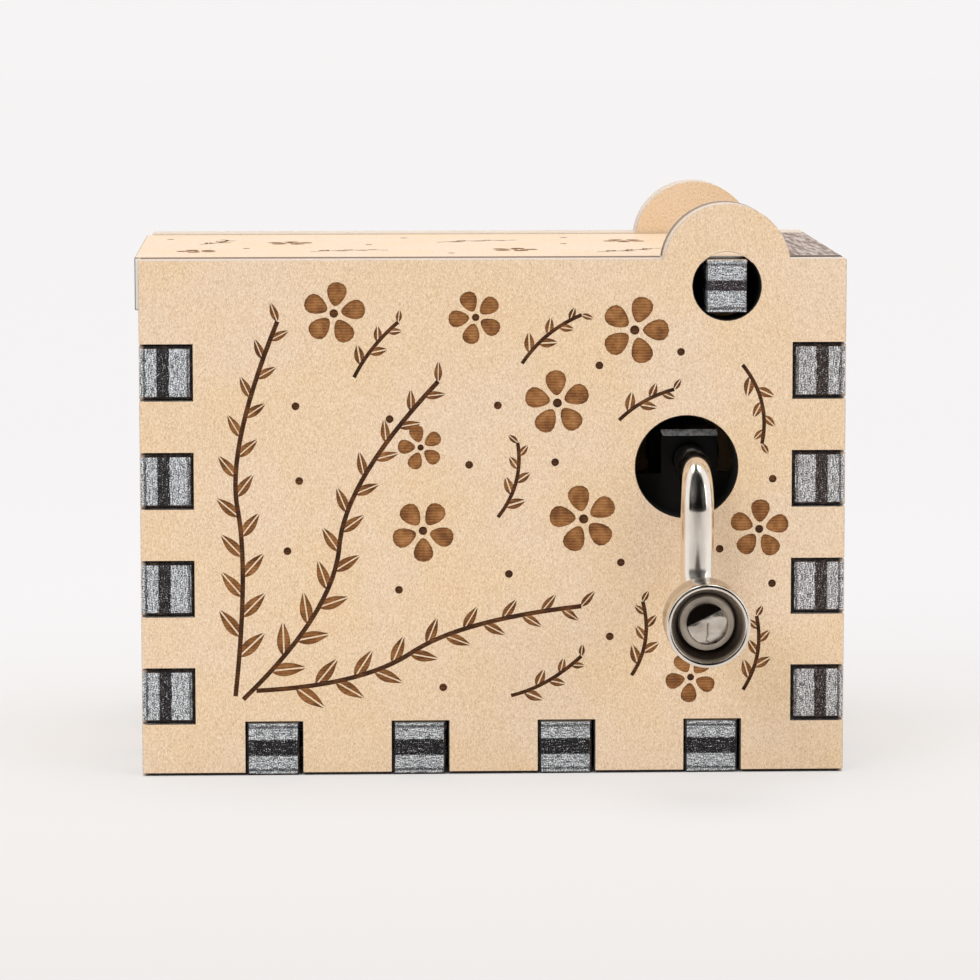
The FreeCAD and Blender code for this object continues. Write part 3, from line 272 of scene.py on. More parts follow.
def basswood_plywood(node, axis, outer, grain_axis, core, plies, crest, holes=(), lip_highlight_from=None):
    """Bare basswood plywood, sanded on its faces and laser-cut at its edges.

    A face is pale and even, with fine specks and short pores along the grain. A cut edge is
    charred: silvery outer plies flecked with black round a dark core, with a tarry gloss that
    glares from the side. axis is the sheet's thickness and outer its outer side. core is the core's
    span through the sheet from that side, and plies the edge's two tones. crest gives the upper
    edges' pale painted highlight and their dark line of char and painted shade. The walls of holes,
    each given by x, z, radius and reach along Y, are char darkened to near black as painted shade.
    Left of lip_highlight_from, the front of the lip's edge is painted near white as a highlight.
    """
    grain_width, grain_length, pore_width, pore_length = 0.09 * MM, 0.2 * MM, 0.08 * MM, 0.16 * MM
    tone_size, streak_width, streak_length, fleck_size = 8 * MM, 0.13 * MM, 0.7 * MM, 0.11 * MM
    smear_width, smear_length, relief_height = 0.4 * MM, 4 * MM, 0.06 * MM
    fleck_share, ply_wander, ply_fade, line_fade = 0.62, 0.05, 0.015, 0.06
    face_roughness, ply_roughness, core_roughness = 0.42, 0.34, 1.0
    dark_from, dark_to, ear_foot = SHAFT.x, HINGE.x + 4 * MM, WALL_TOP + 1 * MM
    material, add, shader, place = new_material(f"plywood_{node}")
    point, normal = place["Object"], place["Normal"]
    low, high = (corner[axis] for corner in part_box(node))
    skin, inside = (low, high) if outer < 0 else (high, low)

    def stretched_noise(across, along, stretch_axis, detail):
        scale = [1 / across] * 3
        scale[stretch_axis] = 1 / along
        spread = add("ShaderNodeMapping", {"Vector": point, "Scale": scale})
        return add(NOISE, {"Vector": spread, "Scale": 1.0, "Detail": detail})

    grain = stretched_noise(grain_width, grain_length, grain_axis, 3.0)
    pores = stretched_noise(pore_width, pore_length, grain_axis, 1.0)
    tone = stretched_noise(tone_size, tone_size, grain_axis, 2.0)
    fibre = add(RAMP, {0: grain}, [
        (0.28, "#D5B793"), (0.45, "#E5CCAD"), (0.57, "#ECD6BA"), (0.76, "#F8E9D6")])
    tint = add(RAMP, {0: tone}, [(0.35, "#FFF8EC"), (0.65, "#FFFCFB")])
    fibre = add(MIX, {0: 1.0, 6: fibre, 7: tint}, data_type="RGBA", blend_type="MULTIPLY")
    in_pore = add(RANGE, {0: pores, 1: 0.62, 2: 0.72, 4: 0.6})
    face = add(MIX, {0: in_pore, 6: fibre, 7: linear("#B7926B")}, data_type="RGBA")

    # The depth through the sheet picks the ply: glue lines near both faces and a dark core
    streaks = stretched_noise(streak_length, streak_width, axis, 2.0)
    flecks = stretched_noise(fleck_size, fleck_size, axis, 1.0)
    char = add(MIX, {0: fleck_share, 2: streaks, 3: flecks})
    places = add(SPLIT, {0: point}).outputs
    depth = add(RANGE, {0: places[axis], 1: skin, 2: inside})
    depth = add(MATH, {0: streaks, 1: ply_wander, 2: depth}, operation="MULTIPLY_ADD")
    in_core = add(RAMP, {0: depth}, [
        (0.095, "#000000"), (0.105, "#E0E0E0"), (0.14, "#E0E0E0"), (0.155, "#000000"),
        (core[0], "#000000"), (core[0] + ply_fade, "#FFFFFF"), (core[1], "#FFFFFF"),
        (core[1] + ply_fade, "#000000"),
        (0.91, "#000000"), (0.925, "#E0E0E0"), (0.96, "#E0E0E0"), (0.975, "#000000")])
    pale_ply = add(RAMP, {0: char}, [
        (0.36, "#16181A"), (0.45, "#666A6D"), (0.51, plies[0]), (0.62, "#F0F3F5")])
    dark_ply = add(RAMP, {0: char}, [
        (0.42, "#0F0F11"), (0.54, plies[1]), (0.61, "#6E6C6D"), (0.67, "#D5D6D8")])
    edge = add(MIX, {0: in_core, 6: pale_ply, 7: dark_ply}, data_type="RGBA")

    # Upper edges: a pale painted highlight beside a dark line of char and painted shade, faint on
    # ears
    facing = add(SPLIT, {0: normal}).outputs
    faces_up = add(RANGE, {0: facing[Z], 1: 0.2, 2: 0.6})
    is_high = add(MATH, {0: places[Z], 1: CREST_FOOT}, operation="GREATER_THAN")
    on_top = add(MATH, {0: faces_up, 1: is_high}, operation="MULTIPLY")
    above = add(MATH, {0: places[Z], 1: WALL_TOP}, operation="GREATER_THAN")
    on_crest = add(MATH, {0: on_top, 1: above}, operation="MAXIMUM")
    smears = stretched_noise(smear_length, smear_width, axis, 3.0)
    smears = add(RANGE, {0: smears, 1: 0.4, 2: 0.62, 4: crest["smeared"]})
    start, end = crest["dark_span"]
    dark_line = add(RAMP, {0: depth}, [(start, "#000000"), (start + line_fade, "#FFFFFF"),
                                       (end - line_fade, "#FFFFFF"), (end, "#000000")])
    line_and_smears = add(MATH, {0: dark_line, 1: smears}, operation="MAXIMUM")
    left, right, on_ear = (linear(tone) for tone in crest["dark"])
    rightward = add(RANGE, {0: places[X], 1: dark_from, 2: dark_to})
    dark = add(MIX, {0: rightward, 6: left, 7: right}, data_type="RGBA")
    up_ear = add(RANGE, {0: places[Z], 1: WALL_TOP, 2: ear_foot})
    dark = add(MIX, {0: up_ear, 6: dark, 7: on_ear}, data_type="RGBA")
    painted_light = add(MIX, {0: line_and_smears, 6: linear(crest["pale"]), 7: dark}, data_type="RGBA")
    soot = add(RAMP, {0: char}, [(0.36, "#A8A29D"), (0.52, "#FFFFFF")])
    painted_light = add(MIX, {0: 1.0, 6: painted_light, 7: soot}, data_type="RGBA", blend_type="MULTIPLY")
    edge = add(MIX, {0: on_crest, 6: edge, 7: painted_light}, data_type="RGBA")
    matt = add(MIX, {0: on_crest, 6: in_core, 7: line_and_smears}, data_type="RGBA")

    # Hole walls: char darkened to near black as painted shade
    for x, z, radius, reach in holes:
        within = add(MATH, {0: off_axis(add, point, x, z), 1: radius}, operation="LESS_THAN")
        from_middle = add(MATH, {0: places[Y]}, operation="ABSOLUTE")
        in_reach = add(MATH, {0: from_middle, 1: reach}, operation="LESS_THAN")
        hole_shade = add(MATH, {0: within, 1: in_reach}, operation="MULTIPLY")
        edge = add(MIX, {0: hole_shade, 6: edge, 7: linear("#070605")}, data_type="RGBA")
        matt = add(MIX, {0: hole_shade, 6: matt, 7: linear("#FFFFFF")}, data_type="RGBA")
    # The lip's front edge is painted near white as a highlight
    if lip_highlight_from is not None:
        past_side = add(MATH, {0: places[X], 1: lip_highlight_from}, operation="LESS_THAN")
        faces_front = add(MATH, {0: facing[Y], 1: -0.5}, operation="LESS_THAN")
        on_lip = add(MATH, {0: past_side, 1: faces_front}, operation="MULTIPLY")
        edge = add(MIX, {0: on_lip, 6: edge, 7: linear("#FAF4EC")}, data_type="RGBA")

    off_face = add(MATH, {0: facing[axis]}, operation="ABSOLUTE")
    is_edge = add(MATH, {0: off_face, 1: 0.5}, operation="LESS_THAN")
    matt = add(RANGE, {0: matt, 3: ply_roughness, 4: core_roughness})
    relief = add(MIX, {0: is_edge, 2: grain, 3: char})
    set_inputs(shader, {
        "Base Color": add(MIX, {0: is_edge, 6: face, 7: edge}, data_type="RGBA"),
        "Roughness": add(MIX, {0: is_edge, 2: face_roughness, 3: matt}),
        "Normal": add(BUMP, {"Strength": 0.2, "Distance": relief_height, "Height": relief})})
    return material


def charred_corner():
    """The burnt arris of a laser cut: soot black to brown, paler at the case's sides and top.

    The lid's lip, past the case's side, is still burnt.
    """
    soot_size, past_side = 0.25 * MM, 0.1 * MM
    side_start, side_end = CASE_SIDE - 0.5 * MM, CASE_SIDE - 0.1 * MM
    top_start, top_end = WALL_TOP - 0.4 * MM, WALL_TOP - 0.2 * MM
    material, add, shader, place = new_material("charred_corner")
    point = place["Object"]
    soot = add(NOISE, {"Vector": point, "Scale": 1 / soot_size, "Detail": 2.0})
    burnt = add(RAMP, {0: soot}, [(0.35, "#0E0907"), (0.55, "#21150F"), (0.70, "#5A4335")])
    paler_tone = add(RAMP, {0: soot}, [(0.35, "#BDA48F"), (0.65, "#DDC9B6")])
    places = add(SPLIT, {0: point}).outputs
    sideways = add(MATH, {0: places[X]}, operation="ABSOLUTE")
    at_side = add(RANGE, {0: sideways, 1: side_start, 2: side_end})
    at_top = add(RANGE, {0: places[Z], 1: top_start, 2: top_end})
    paler_share = add(MATH, {0: at_side, 1: at_top}, operation="MAXIMUM")
    on_case = add(MATH, {0: sideways, 1: CASE_SIDE + past_side}, operation="LESS_THAN")
    paler_share = add(MATH, {0: paler_share, 1: on_case}, operation="MULTIPLY")
    colour = add(MIX, {0: paler_share, 6: burnt, 7: paler_tone}, data_type="RGBA")
    set_inputs(shader, {"Base Color": colour, "Roughness": 0.85})
    return material


def scorched_basswood(name, deep, middle, pale):
    """Laser-burnt basswood: toasted brown, ridged by the beam's passes, blotched by the grain."""
    # The passes are about 0.1 mm apart, drawn coarser so that they show
    pass_spacing, blotch, fleck, ridge = 0.26 * MM, 1.3 * MM, 0.3 * MM, 0.05 * MM
    pass_share, fleck_share = 0.16, 0.35
    # A wave texture of scale 1 repeats at this distance
    wave_period = 2 * math.pi / 20
    material, add, shader, place = new_material(name)
    point = place["Object"]
    passes = add("ShaderNodeTexWave", {
        "Vector": point, "Scale": wave_period / pass_spacing, "Distortion": 1.2, "Detail": 2.0},
        bands_direction="Z").outputs["Fac"]
    blotches = add(NOISE, {"Vector": point, "Scale": 1 / blotch, "Detail": 3.0})
    flecks = add(NOISE, {"Vector": point, "Scale": 1 / fleck, "Detail": 2.0})
    heat = add(MATH, {0: passes, 1: pass_share, 2: blotches}, operation="MULTIPLY_ADD")
    heat = add(MATH, {0: flecks, 1: fleck_share, 2: heat}, operation="MULTIPLY_ADD")
    colour = add(RAMP, {0: heat}, [(0.55, deep), (0.76, middle), (0.98, pale)])
    bump = add(BUMP, {"Strength": 0.4, "Distance": ridge, "Height": heat})
    set_inputs(shader, {"Base Color": colour, "Normal": bump, "Roughness": 0.85})
    return material


def handled_metal(name, tones, roughness, patch, scratch, relief=0.05, film=None):
    """A bare or plated metal: slight tone patches, and a gloss that handling has dulled unevenly.

    tones are its darker and lighter colour, and roughness its glossiest and dullest. In
    millimetres, patch is the size of a smudge and scratch the spacing of fine marks along X, Y and
    Z. film holds a function that gives a film's share at a point, from the node adder and the
    point, and its colour and roughness.
    """
    scratch_depth, scratch_share = 0.02 * MM, 0.5
    material, add, shader, place = new_material(name)
    point = place["Object"]
    smudges = add(NOISE, {"Vector": point, "Scale": 1 / (patch * MM), "Detail": 4.0})
    drawn_out = add("ShaderNodeMapping",
                    {"Vector": point, "Scale": [1 / (size * MM) for size in scratch]})
    marks = add(NOISE, {"Vector": drawn_out, "Scale": 1.0, "Detail": 3.0})
    colour = add(RAMP, {0: smudges}, [(0.38, tones[0]), (0.62, tones[1])])
    dulled = add(MATH, {0: marks, 1: scratch_share, 2: smudges}, operation="MULTIPLY_ADD")
    rough = add(RANGE, {0: dulled, 1: 0.55, 2: 0.95, 3: roughness[0], 4: roughness[1]})
    if film:
        cover, stain, dullness = film
        share = cover(add, point)
        colour = add(MIX, {0: share, 6: colour, 7: linear(stain)}, data_type="RGBA")
        rough = add(MIX, {0: share, 2: rough, 3: dullness})
    bump = add(BUMP, {"Strength": relief, "Distance": scratch_depth, "Height": marks})
    set_inputs(shader, {"Base Color": colour, "Roughness": rough, "Normal": bump, "Metallic": 1.0})
    return material


def cup_painted_shade(add, point):
    """The share of painted shade on the knob: it darkens the wall of the cup, most at its lower
    side.
    """
    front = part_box("crank_knob")[0].y
    mouth, floor = KNOB_MOUTH_RADIUS + 0.02 * MM, front + KNOB_CUP_DEPTH + 0.01 * MM
    shade_from, shade_full = front + KNOB_RIM_ROUND + 0.05 * MM, front + KNOB_RIM_ROUND + 0.6 * MM
    shade_foot, shade_top, upper_share = HANDLE.z - 2 * MM, HANDLE.z + 2 * MM, 0.55
    places = add(SPLIT, {0: point}).outputs
    within = add(MATH, {0: off_axis(add, point, HANDLE.x, HANDLE.z), 1: mouth},
                 operation="LESS_THAN")
    ahead = add(MATH, {0: places[Y], 1: floor}, operation="LESS_THAN")
    deep = add(RANGE, {0: places[Y], 1: shade_from, 2: shade_full})
    lower_shade = add(RANGE, {0: places[Z], 1: shade_foot, 2: shade_top, 3: 1.0, 4: upper_share})
    inside = add(MATH, {0: within, 1: ahead}, operation="MULTIPLY")
    depth_shade = add(MATH, {0: deep, 1: lower_shade}, operation="MULTIPLY")
    return add(MATH, {0: inside, 1: depth_shade}, operation="MULTIPLY")


def rivet_painted_reflection(add, point):
    """The share of a painted dark reflection on the rivet, over its upper left side."""
    slant, fade = -0.5, 0.06 * MM
    border = HANDLE.z + slant * HANDLE.x + 0.7 * MM
    places = add(SPLIT, {0: point}).outputs
    across = add(MATH, {0: places[X], 1: slant, 2: places[Z]}, operation="MULTIPLY_ADD")
    return add(RANGE, {0: across, 1: border - fade, 2: border + fade})


def bend_haze(add, point):
    """The share of haze on the rod, whose plating is crazed at the bend by the knob."""
    clear_above, hazy_below = HANDLE.z + 6 * MM, HANDLE.z + 4.6 * MM
    return add(RANGE, {0: add(SPLIT, {0: point}).outputs[Z], 1: clear_above, 2: hazy_below})


def moulded_plastic(name, tones, roughness, ior, texture, highlight_under=None):
    """A moulded plastic: an even colour, and a skin that ripples slightly as the mould did.

    texture is the ripples' size in millimetres. The plastic gets a pale grey painted highlight
    where its place along Y less its height is under highlight_under.
    """
    flow_size, ripple_depth = 4 * MM, 0.05 * MM
    material, add, shader, place = new_material(name)
    point = place["Object"]
    flow = add(NOISE, {"Vector": point, "Scale": 1 / flow_size, "Detail": 3.0})
    skin = add(NOISE, {"Vector": point, "Scale": 1 / (texture * MM), "Detail": 2.0})
    colour = add(RAMP, {0: flow}, [(0.35, tones[0]), (0.65, tones[1])])
    rough = add(RANGE, {0: flow, 1: 0.35, 2: 0.65, 3: roughness[0], 4: roughness[1]})
    bump = add(BUMP, {"Strength": 0.12, "Distance": ripple_depth, "Height": skin})
    # A pale grey painted highlight along the chamfer
    if highlight_under is not None:
        places = add(SPLIT, {0: point}).outputs
        slant = add(MATH, {0: places[Y], 1: places[Z]}, operation="SUBTRACT")
        on_slant = add(MATH, {0: slant, 1: highlight_under}, operation="LESS_THAN")
        painted_light = add(RAMP, {0: skin}, [(0.3, "#A2A2A2"), (0.6, "#FFFFFF")])
        colour = add(MIX, {0: on_slant, 6: colour, 7: painted_light}, data_type="RGBA")
    set_inputs(shader, {"Base Color": colour, "Roughness": rough, "Normal": bump, "IOR": ior})
    return material


def link_object(name, data):
    """An object in the scene for a mesh, a curve, a lamp or a camera."""
    thing = bpy.data.objects.new(name, data)
    bpy.context.scene.collection.objects.link(thing)
    return thing


@contextmanager
def reshaped(mesh):
    """Opens a mesh for changes and writes them back."""
    shape = bmesh.new()
    shape.from_mesh(mesh)
    yield shape
    shape.to_mesh(mesh)
    shape.free()


def settled_mesh(thing):
    """The plain mesh that an object's modifiers give. The object is removed."""
    bpy.context.view_layer.update()
    depsgraph = bpy.context.evaluated_depsgraph_get()
    mesh = bpy.data.meshes.new_from_object(thing.evaluated_get(depsgraph))
    bpy.data.objects.remove(thing)
    return mesh


def smooth_round_faces(mesh, angle=ROUND_ANGLE):
    """Shades round surfaces smooth and keeps edges sharper than the angle."""
    mesh.shade_smooth()
    mesh.set_sharp_from_angle(angle=angle)


def finish_piece(name, mesh, material, body, slot, *nodes):
    """A finished mesh as a piece that rides on a body and stands for model nodes."""
    if material:
        mesh.materials.clear()
        mesh.materials.append(material)
    piece = link_object(name, mesh)
    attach(piece, body)
    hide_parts(*nodes)


def welded_copy(node):
    """A model node's shape as one welded mesh with flat faces whole."""
    source = frame["nodes"][node].data
    mesh = bpy.data.meshes.new(f"{node}_copy")
    mesh.from_pydata([v.co for v in source.vertices], [], [p.vertices[:] for p in source.polygons])
    with reshaped(mesh) as shape:
        bmesh.ops.remove_doubles(shape, verts=shape.verts, dist=WELD_GAP)
        bmesh.ops.dissolve_limit(shape, angle_limit=FLAT, verts=shape.verts, edges=shape.edges)
    return mesh


def burnt_width(node, edge):
    """The burnt chamfer's width along a panel's edge: widest at the foot and round a tab's end.

    The rear wall's top has none.
    """
    low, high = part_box(node)
    ends = [vertex.co for vertex in edge.verts]
    stands = all(end.z < CAD_BOX[0].z + SLACK for end in ends)
    on_tab = node in TABBED and all(end.y < low.y + SLACK or end.y > high.y - SLACK for end in ends)
    at_side = all(abs(end.x) > max(-low.x, high.x) - SLACK for end in ends)
    at_top = all(end.z > high.z - SLACK for end in ends)
    if node == "rear_wall" and all(end.z > WALL_TOP - SLACK for end in ends):
        return 0.0
    return FOOT_CHAMFER if stands or on_tab and not (at_side or at_top) else BURNT_CHAMFER


def cut_panel(node, wood, corner):
    """A plywood panel whose cut edges end in burnt chamfers. Its modifiers are still live."""
    mesh = welded_copy(node)
    with reshaped(mesh) as shape:
        share = shape.edges.layers.float.new("bevel_weight_edge")
        for edge in shape.edges:
            if edge.calc_face_angle(0) > CUT_CORNER:
                edge[share] = burnt_width(node, edge) / FOOT_CHAMFER
    mesh.materials.append(wood)
    mesh.materials.append(corner)
    panel = link_object(f"{node}_panel", mesh)
    bevel = panel.modifiers.new("burnt_edge", "BEVEL")
    bevel.width, bevel.segments, bevel.limit_method, bevel.material = FOOT_CHAMFER, 1, "WEIGHT", 1
    # Where two chamfers meet in a shallow sunk hole, the wall left between them has no height
    panel.modifiers.new("closed_wall", "WELD").merge_threshold = WELD_GAP
    return panel


def softened(mesh, edge_radius):
    """A mesh with its sharp edges rounded, as casting, moulding or tumbling leaves them."""
    thing = link_object("softened", mesh)
    bevel = thing.modifiers.new("soft_edge", "BEVEL")
    bevel.width, bevel.segments = edge_radius, 2
    bevel.limit_method, bevel.angle_limit = "ANGLE", CUT_CORNER
    thing.modifiers.new("closed_slivers", "WELD").merge_threshold = WELD_GAP
    mesh = settled_mesh(thing)
    smooth_round_faces(mesh, SOFT_ANGLE)
    return mesh


def disc(radius, steps):
    """A round outline."""
    turns = [2 * math.pi * step / steps for step in range(steps)]
    return [(radius * math.cos(turn), radius * math.sin(turn)) for turn in turns]


def lathe(name, profile, centre, closed):
    """A turned shape about an axis along Y, from (radius, y) pairs. A closed one has a bore."""
    mesh = bpy.data.meshes.new(name)
    with reshaped(mesh) as shape:
        rings = []
        for radius, y in profile:
            if radius == 0:
                rings.append([shape.verts.new((centre.x, y, centre.z))] * TURNED_STEPS)
            else:
                rings.append([shape.verts.new((centre.x + x, y, centre.z + z))
                              for x, z in disc(radius, TURNED_STEPS)])
        for ring, after in zip(rings, rings[1:] + rings[:1] if closed else rings[1:]):
            for step in range(TURNED_STEPS):
                corners = [ring[step - 1], ring[step], after[step], after[step - 1]]
                shape.faces.new(list(dict.fromkeys(corners)))
        bmesh.ops.recalc_face_normals(shape, faces=shape.faces)
    return mesh


def node_group(name, sockets):
    """A Geometry Nodes tree with named inputs: the tree, its node adder and its inputs."""
    tree = bpy.data.node_groups.new(name, "GeometryNodeTree")
    tree.interface.new_socket("Geometry", in_out="INPUT", socket_type="NodeSocketGeometry")
    for label, kind in sockets.items():
        tree.interface.new_socket(label, in_out="INPUT", socket_type=f"NodeSocket{kind}")
    tree.interface.new_socket("Geometry", in_out="OUTPUT", socket_type="NodeSocketGeometry")
    add = partial(add_node, tree)
    return tree, add, add("NodeGroupInput").outputs


def close_group(add, geometry, material):
    """Ends a tree: instances made real and one material set."""
    real = add("GeometryNodeRealizeInstances", {0: geometry})
    painted = add("GeometryNodeSetMaterial", {0: real, "Material": material})
    add("NodeGroupOutput", {0: painted})


def grow(source, tree, values):
    """The plain mesh that a tree makes of a source object, with its named inputs set."""
    modifier = source.modifiers.new(tree.name, "NODES")
    modifier.node_group = tree
    for item in tree.interface.items_tree:
        if item.in_out == "INPUT" and item.name in values:
            modifier[item.identifier] = values[item.name]
    return settled_mesh(source)


def leaf_rows():
    """Tree: leaves set by turns on both sides of each stem, smaller towards its tip."""
    tree, add, given = node_group("leaf_rows", {
        "Leaf": "Object", "Spacing": "Float", "Angle": "Float", "Tip Scale": "Float",
        "Bare Stem": "Float", "Material": "Material"})
    along = add("GeometryNodeSplineParameter").outputs["Factor"]
    marked = add("GeometryNodeStoreNamedAttribute",
                 {0: given["Geometry"], "Name": "along", "Value": along},
                 data_type="FLOAT", domain="POINT")
    nodes = add("GeometryNodeCurveToPoints", {0: marked, "Length": given["Spacing"]},
                mode="LENGTH").outputs
    index = add("GeometryNodeInputIndex")
    parity = add(MATH, {0: index, 1: 2.0}, operation="MODULO")
    side = add(MATH, {0: parity, 1: 2.0, 2: -1.0}, operation="MULTIPLY_ADD")
    lean = add(MATH, {0: side, 1: given["Angle"]}, operation="MULTIPLY")
    forward = add("FunctionNodeAlignRotationToVector", {"Vector": nodes["Tangent"]}, axis="X",
                  pivot_axis="Z")
    turn = add("FunctionNodeAxisAngleToRotation", {"Axis": (0, 0, 1), "Angle": lean})
    turned = add("FunctionNodeRotateRotation", {0: forward, 1: turn}, rotation_space="LOCAL")
    position = add("GeometryNodeInputNamedAttribute", {0: "along"}, data_type="FLOAT")
    taper = add(RANGE, {0: position, 3: 1.0, 4: given["Tip Scale"]})
    size = add("ShaderNodeCombineXYZ", {0: taper, 1: taper, 2: 1.0})
    leafy = add(MATH, {0: position, 1: given["Bare Stem"]}, operation="GREATER_THAN")
    leaf = add("GeometryNodeObjectInfo", {0: given["Leaf"]}).outputs["Geometry"]
    leaves = add("GeometryNodeInstanceOnPoints",
                 {0: nodes["Points"], 1: leafy, 2: leaf, 5: turned, 6: size})
    close_group(add, leaves, given["Material"])
    return tree


def stem_lines():
    """Tree: each path swept by an upright rectangle."""
    tree, add, given = node_group("stem_lines",
                                  {"Width": "Float", "Depth": "Float", "Material": "Material"})
    upright = add("GeometryNodeSetCurveNormal", {0: given["Geometry"]}, mode="Z_UP")
    line = add("GeometryNodeCurvePrimitiveQuadrilateral",
               {"Width": given["Width"], "Height": given["Depth"]})
    swept = add("GeometryNodeCurveToMesh", {0: upright, 1: line, "Fill Caps": True})
    close_group(add, swept, given["Material"])
    return tree


def scattered_marks():
    """Tree: one mark set at every point, with the point's own size and turn."""
    tree, add, given = node_group("scattered_marks", {"Mark": "Object", "Material": "Material"})
    size = add("GeometryNodeInputNamedAttribute", {0: "size"}, data_type="FLOAT")
    turn = add("GeometryNodeInputNamedAttribute", {0: "turn"}, data_type="FLOAT")
    scale = add("ShaderNodeCombineXYZ", {0: size, 1: size, 2: 1.0})
    turned = add("FunctionNodeAxisAngleToRotation", {"Axis": (0, 0, 1), "Angle": turn})
    mark = add("GeometryNodeObjectInfo", {0: given["Mark"]}).outputs["Geometry"]
    marks = add("GeometryNodeInstanceOnPoints",
                {0: given["Geometry"], 2: mark, 5: turned, 6: scale})
    close_group(add, marks, given["Material"])
    return tree


def bent_rod():
    """Tree: a path with rounded corners swept by a circle."""
    tree, add, given = node_group("bent_rod", {
        "Diameter": "Float", "Bend Radius": "Float", "Material": "Material"})
    rounded = add("GeometryNodeFilletCurve", {
        0: given["Geometry"], "Count": BEND_STEPS, "Radius": given["Bend Radius"]}, mode="POLY")
    radius = add(MATH, {0: given["Diameter"], 1: 0.5}, operation="MULTIPLY")
    section = add("GeometryNodeCurvePrimitiveCircle", {"Resolution": ROD_SIDES, "Radius": radius})
    swept = add("GeometryNodeCurveToMesh", {0: rounded, 1: section, "Fill Caps": True})
    close_group(add, swept, given["Material"])
    return tree


def tune_pins():
    """Tree: tapered pins on a drum along X, a track for each note, left out by chance."""
    tree, add, given = node_group("tune_pins", {
        "Notes": "Int", "Beats": "Int", "Pitch": "Float", "Radius": "Float", "Pin Height": "Float",
        "Pin Base": "Float", "Pin Tip": "Float", "Chance": "Float", "Seed": "Int",
        "Material": "Material"})
    count = add(MATH, {0: given["Notes"], 1: given["Beats"]}, operation="MULTIPLY")
    points = add("GeometryNodePoints", {"Count": count})
    index = add("GeometryNodeInputIndex")
    track = add(MATH, {0: index, 1: given["Beats"]}, operation="DIVIDE")
    track = add(MATH, {0: track}, operation="FLOOR")
    beat = add(MATH, {0: index, 1: given["Beats"]}, operation="MODULO")
    beat = add(MATH, {0: beat, 1: given["Beats"]}, operation="DIVIDE")
    turn = add(MATH, {0: beat, 1: 2 * math.pi}, operation="MULTIPLY")
    out_y = add(MATH, {0: turn}, operation="COSINE")
    out_z = add(MATH, {0: turn}, operation="SINE")
    outward = add("ShaderNodeCombineXYZ", {1: out_y, 2: out_z})
    across = add(MATH, {0: track, 1: given["Pitch"]}, operation="MULTIPLY")
    along = add("ShaderNodeCombineXYZ", {0: across})
    place = add(VECTOR_MATH, {0: outward, 1: given["Radius"], 2: along}, operation="MULTIPLY_ADD")
    placed = add("GeometryNodeSetPosition", {0: points, "Position": place})
    sounds = add("FunctionNodeRandomValue", {"Probability": given["Chance"], "Seed": given["Seed"]},
                 data_type="BOOLEAN")
    upright = add("FunctionNodeAlignRotationToVector", {"Vector": outward}, axis="Z")
    pin = add("GeometryNodeMeshCone", {
        "Vertices": PIN_SIDES, "Radius Top": given["Pin Tip"], "Radius Bottom": given["Pin Base"],
        "Depth": given["Pin Height"]})
    pins = add("GeometryNodeInstanceOnPoints", {0: placed, 1: sounds, 2: pin, 5: upright})
    close_group(add, pins, given["Material"])
    return tree


def prisms(name, outlines, half_depth):
    """A mesh of upright prisms about the drawing's plane, one for each flat outline."""
    mesh = bpy.data.meshes.new(name)
    with reshaped(mesh) as shape:
        for outline in outlines:
            floor = shape.faces.new([shape.verts.new((x, y, -half_depth)) for x, y in outline])
            top = bmesh.ops.extrude_face_region(shape, geom=[floor])["geom"]
            lifted = [part for part in top if isinstance(part, bmesh.types.BMVert)]
            bmesh.ops.translate(shape, verts=lifted, vec=(0, 0, 2 * half_depth))
        bmesh.ops.recalc_face_normals(shape, faces=shape.faces)
    return mesh


def half_leaf(length, width, fullest, side):
    """One half of a pointed leaf along +X, beside its vein and widest at the share fullest."""
    power = math.log(0.5) / math.log(fullest)
    vein = side * VEIN_GAP / 2
    curve = [(length * t, vein + side * width / 2 * math.sin(math.pi * t ** power))
             for t in (step / LEAF_STEPS for step in range(LEAF_STEPS + 1))]
    return curve if side < 0 else curve[::-1]


def petal(length, width, start, turn):
    """A rounded petal that starts off the blossom's middle and is fuller at its outer end."""
    points = []
    for step in range(ROUND_STEPS):
        swing = 2 * math.pi * step / ROUND_STEPS
        x = start + length / 2 * (1 + math.cos(swing))
        y = width / 2 * math.sin(swing) * (1 + PETAL_SWELL * math.cos(swing))
        points.append((x * math.cos(turn) - y * math.sin(turn),
                       x * math.sin(turn) + y * math.cos(turn)))
    return points


def paths(name, routes):
    """A curve object with one smooth path for each route, drawn in millimetres."""
    curve = bpy.data.curves.new(name, "CURVE")
    curve.dimensions = "3D"
    for route in routes:
        spline = curve.splines.new("NURBS")
        spline.points.add(len(route) - 1)
        for point, (x, y) in zip(spline.points, route):
            point.co = (x * MM, y * MM, 0, 1)
        spline.order_u, spline.use_endpoint_u = PATH_ORDER, True
        spline.resolution_u = PATH_STEPS
    return link_object(name, curve)


def marked_points(name, marks):
    """Loose points with a size and a turn, from (x, y, size, degrees) in millimetres."""
    mesh = bpy.data.meshes.new(name)
    mesh.from_pydata([(x * MM, y * MM, 0) for x, y, *_ in marks], [], [])
    sizes = mesh.attributes.new("size", "FLOAT", "POINT")
    turns = mesh.attributes.new("turn", "FLOAT", "POINT")
    for index, (*_, size, turn) in enumerate(marks):
        sizes.data[index].value = size
        turns.data[index].value = math.radians(turn)
    return link_object(name, mesh)


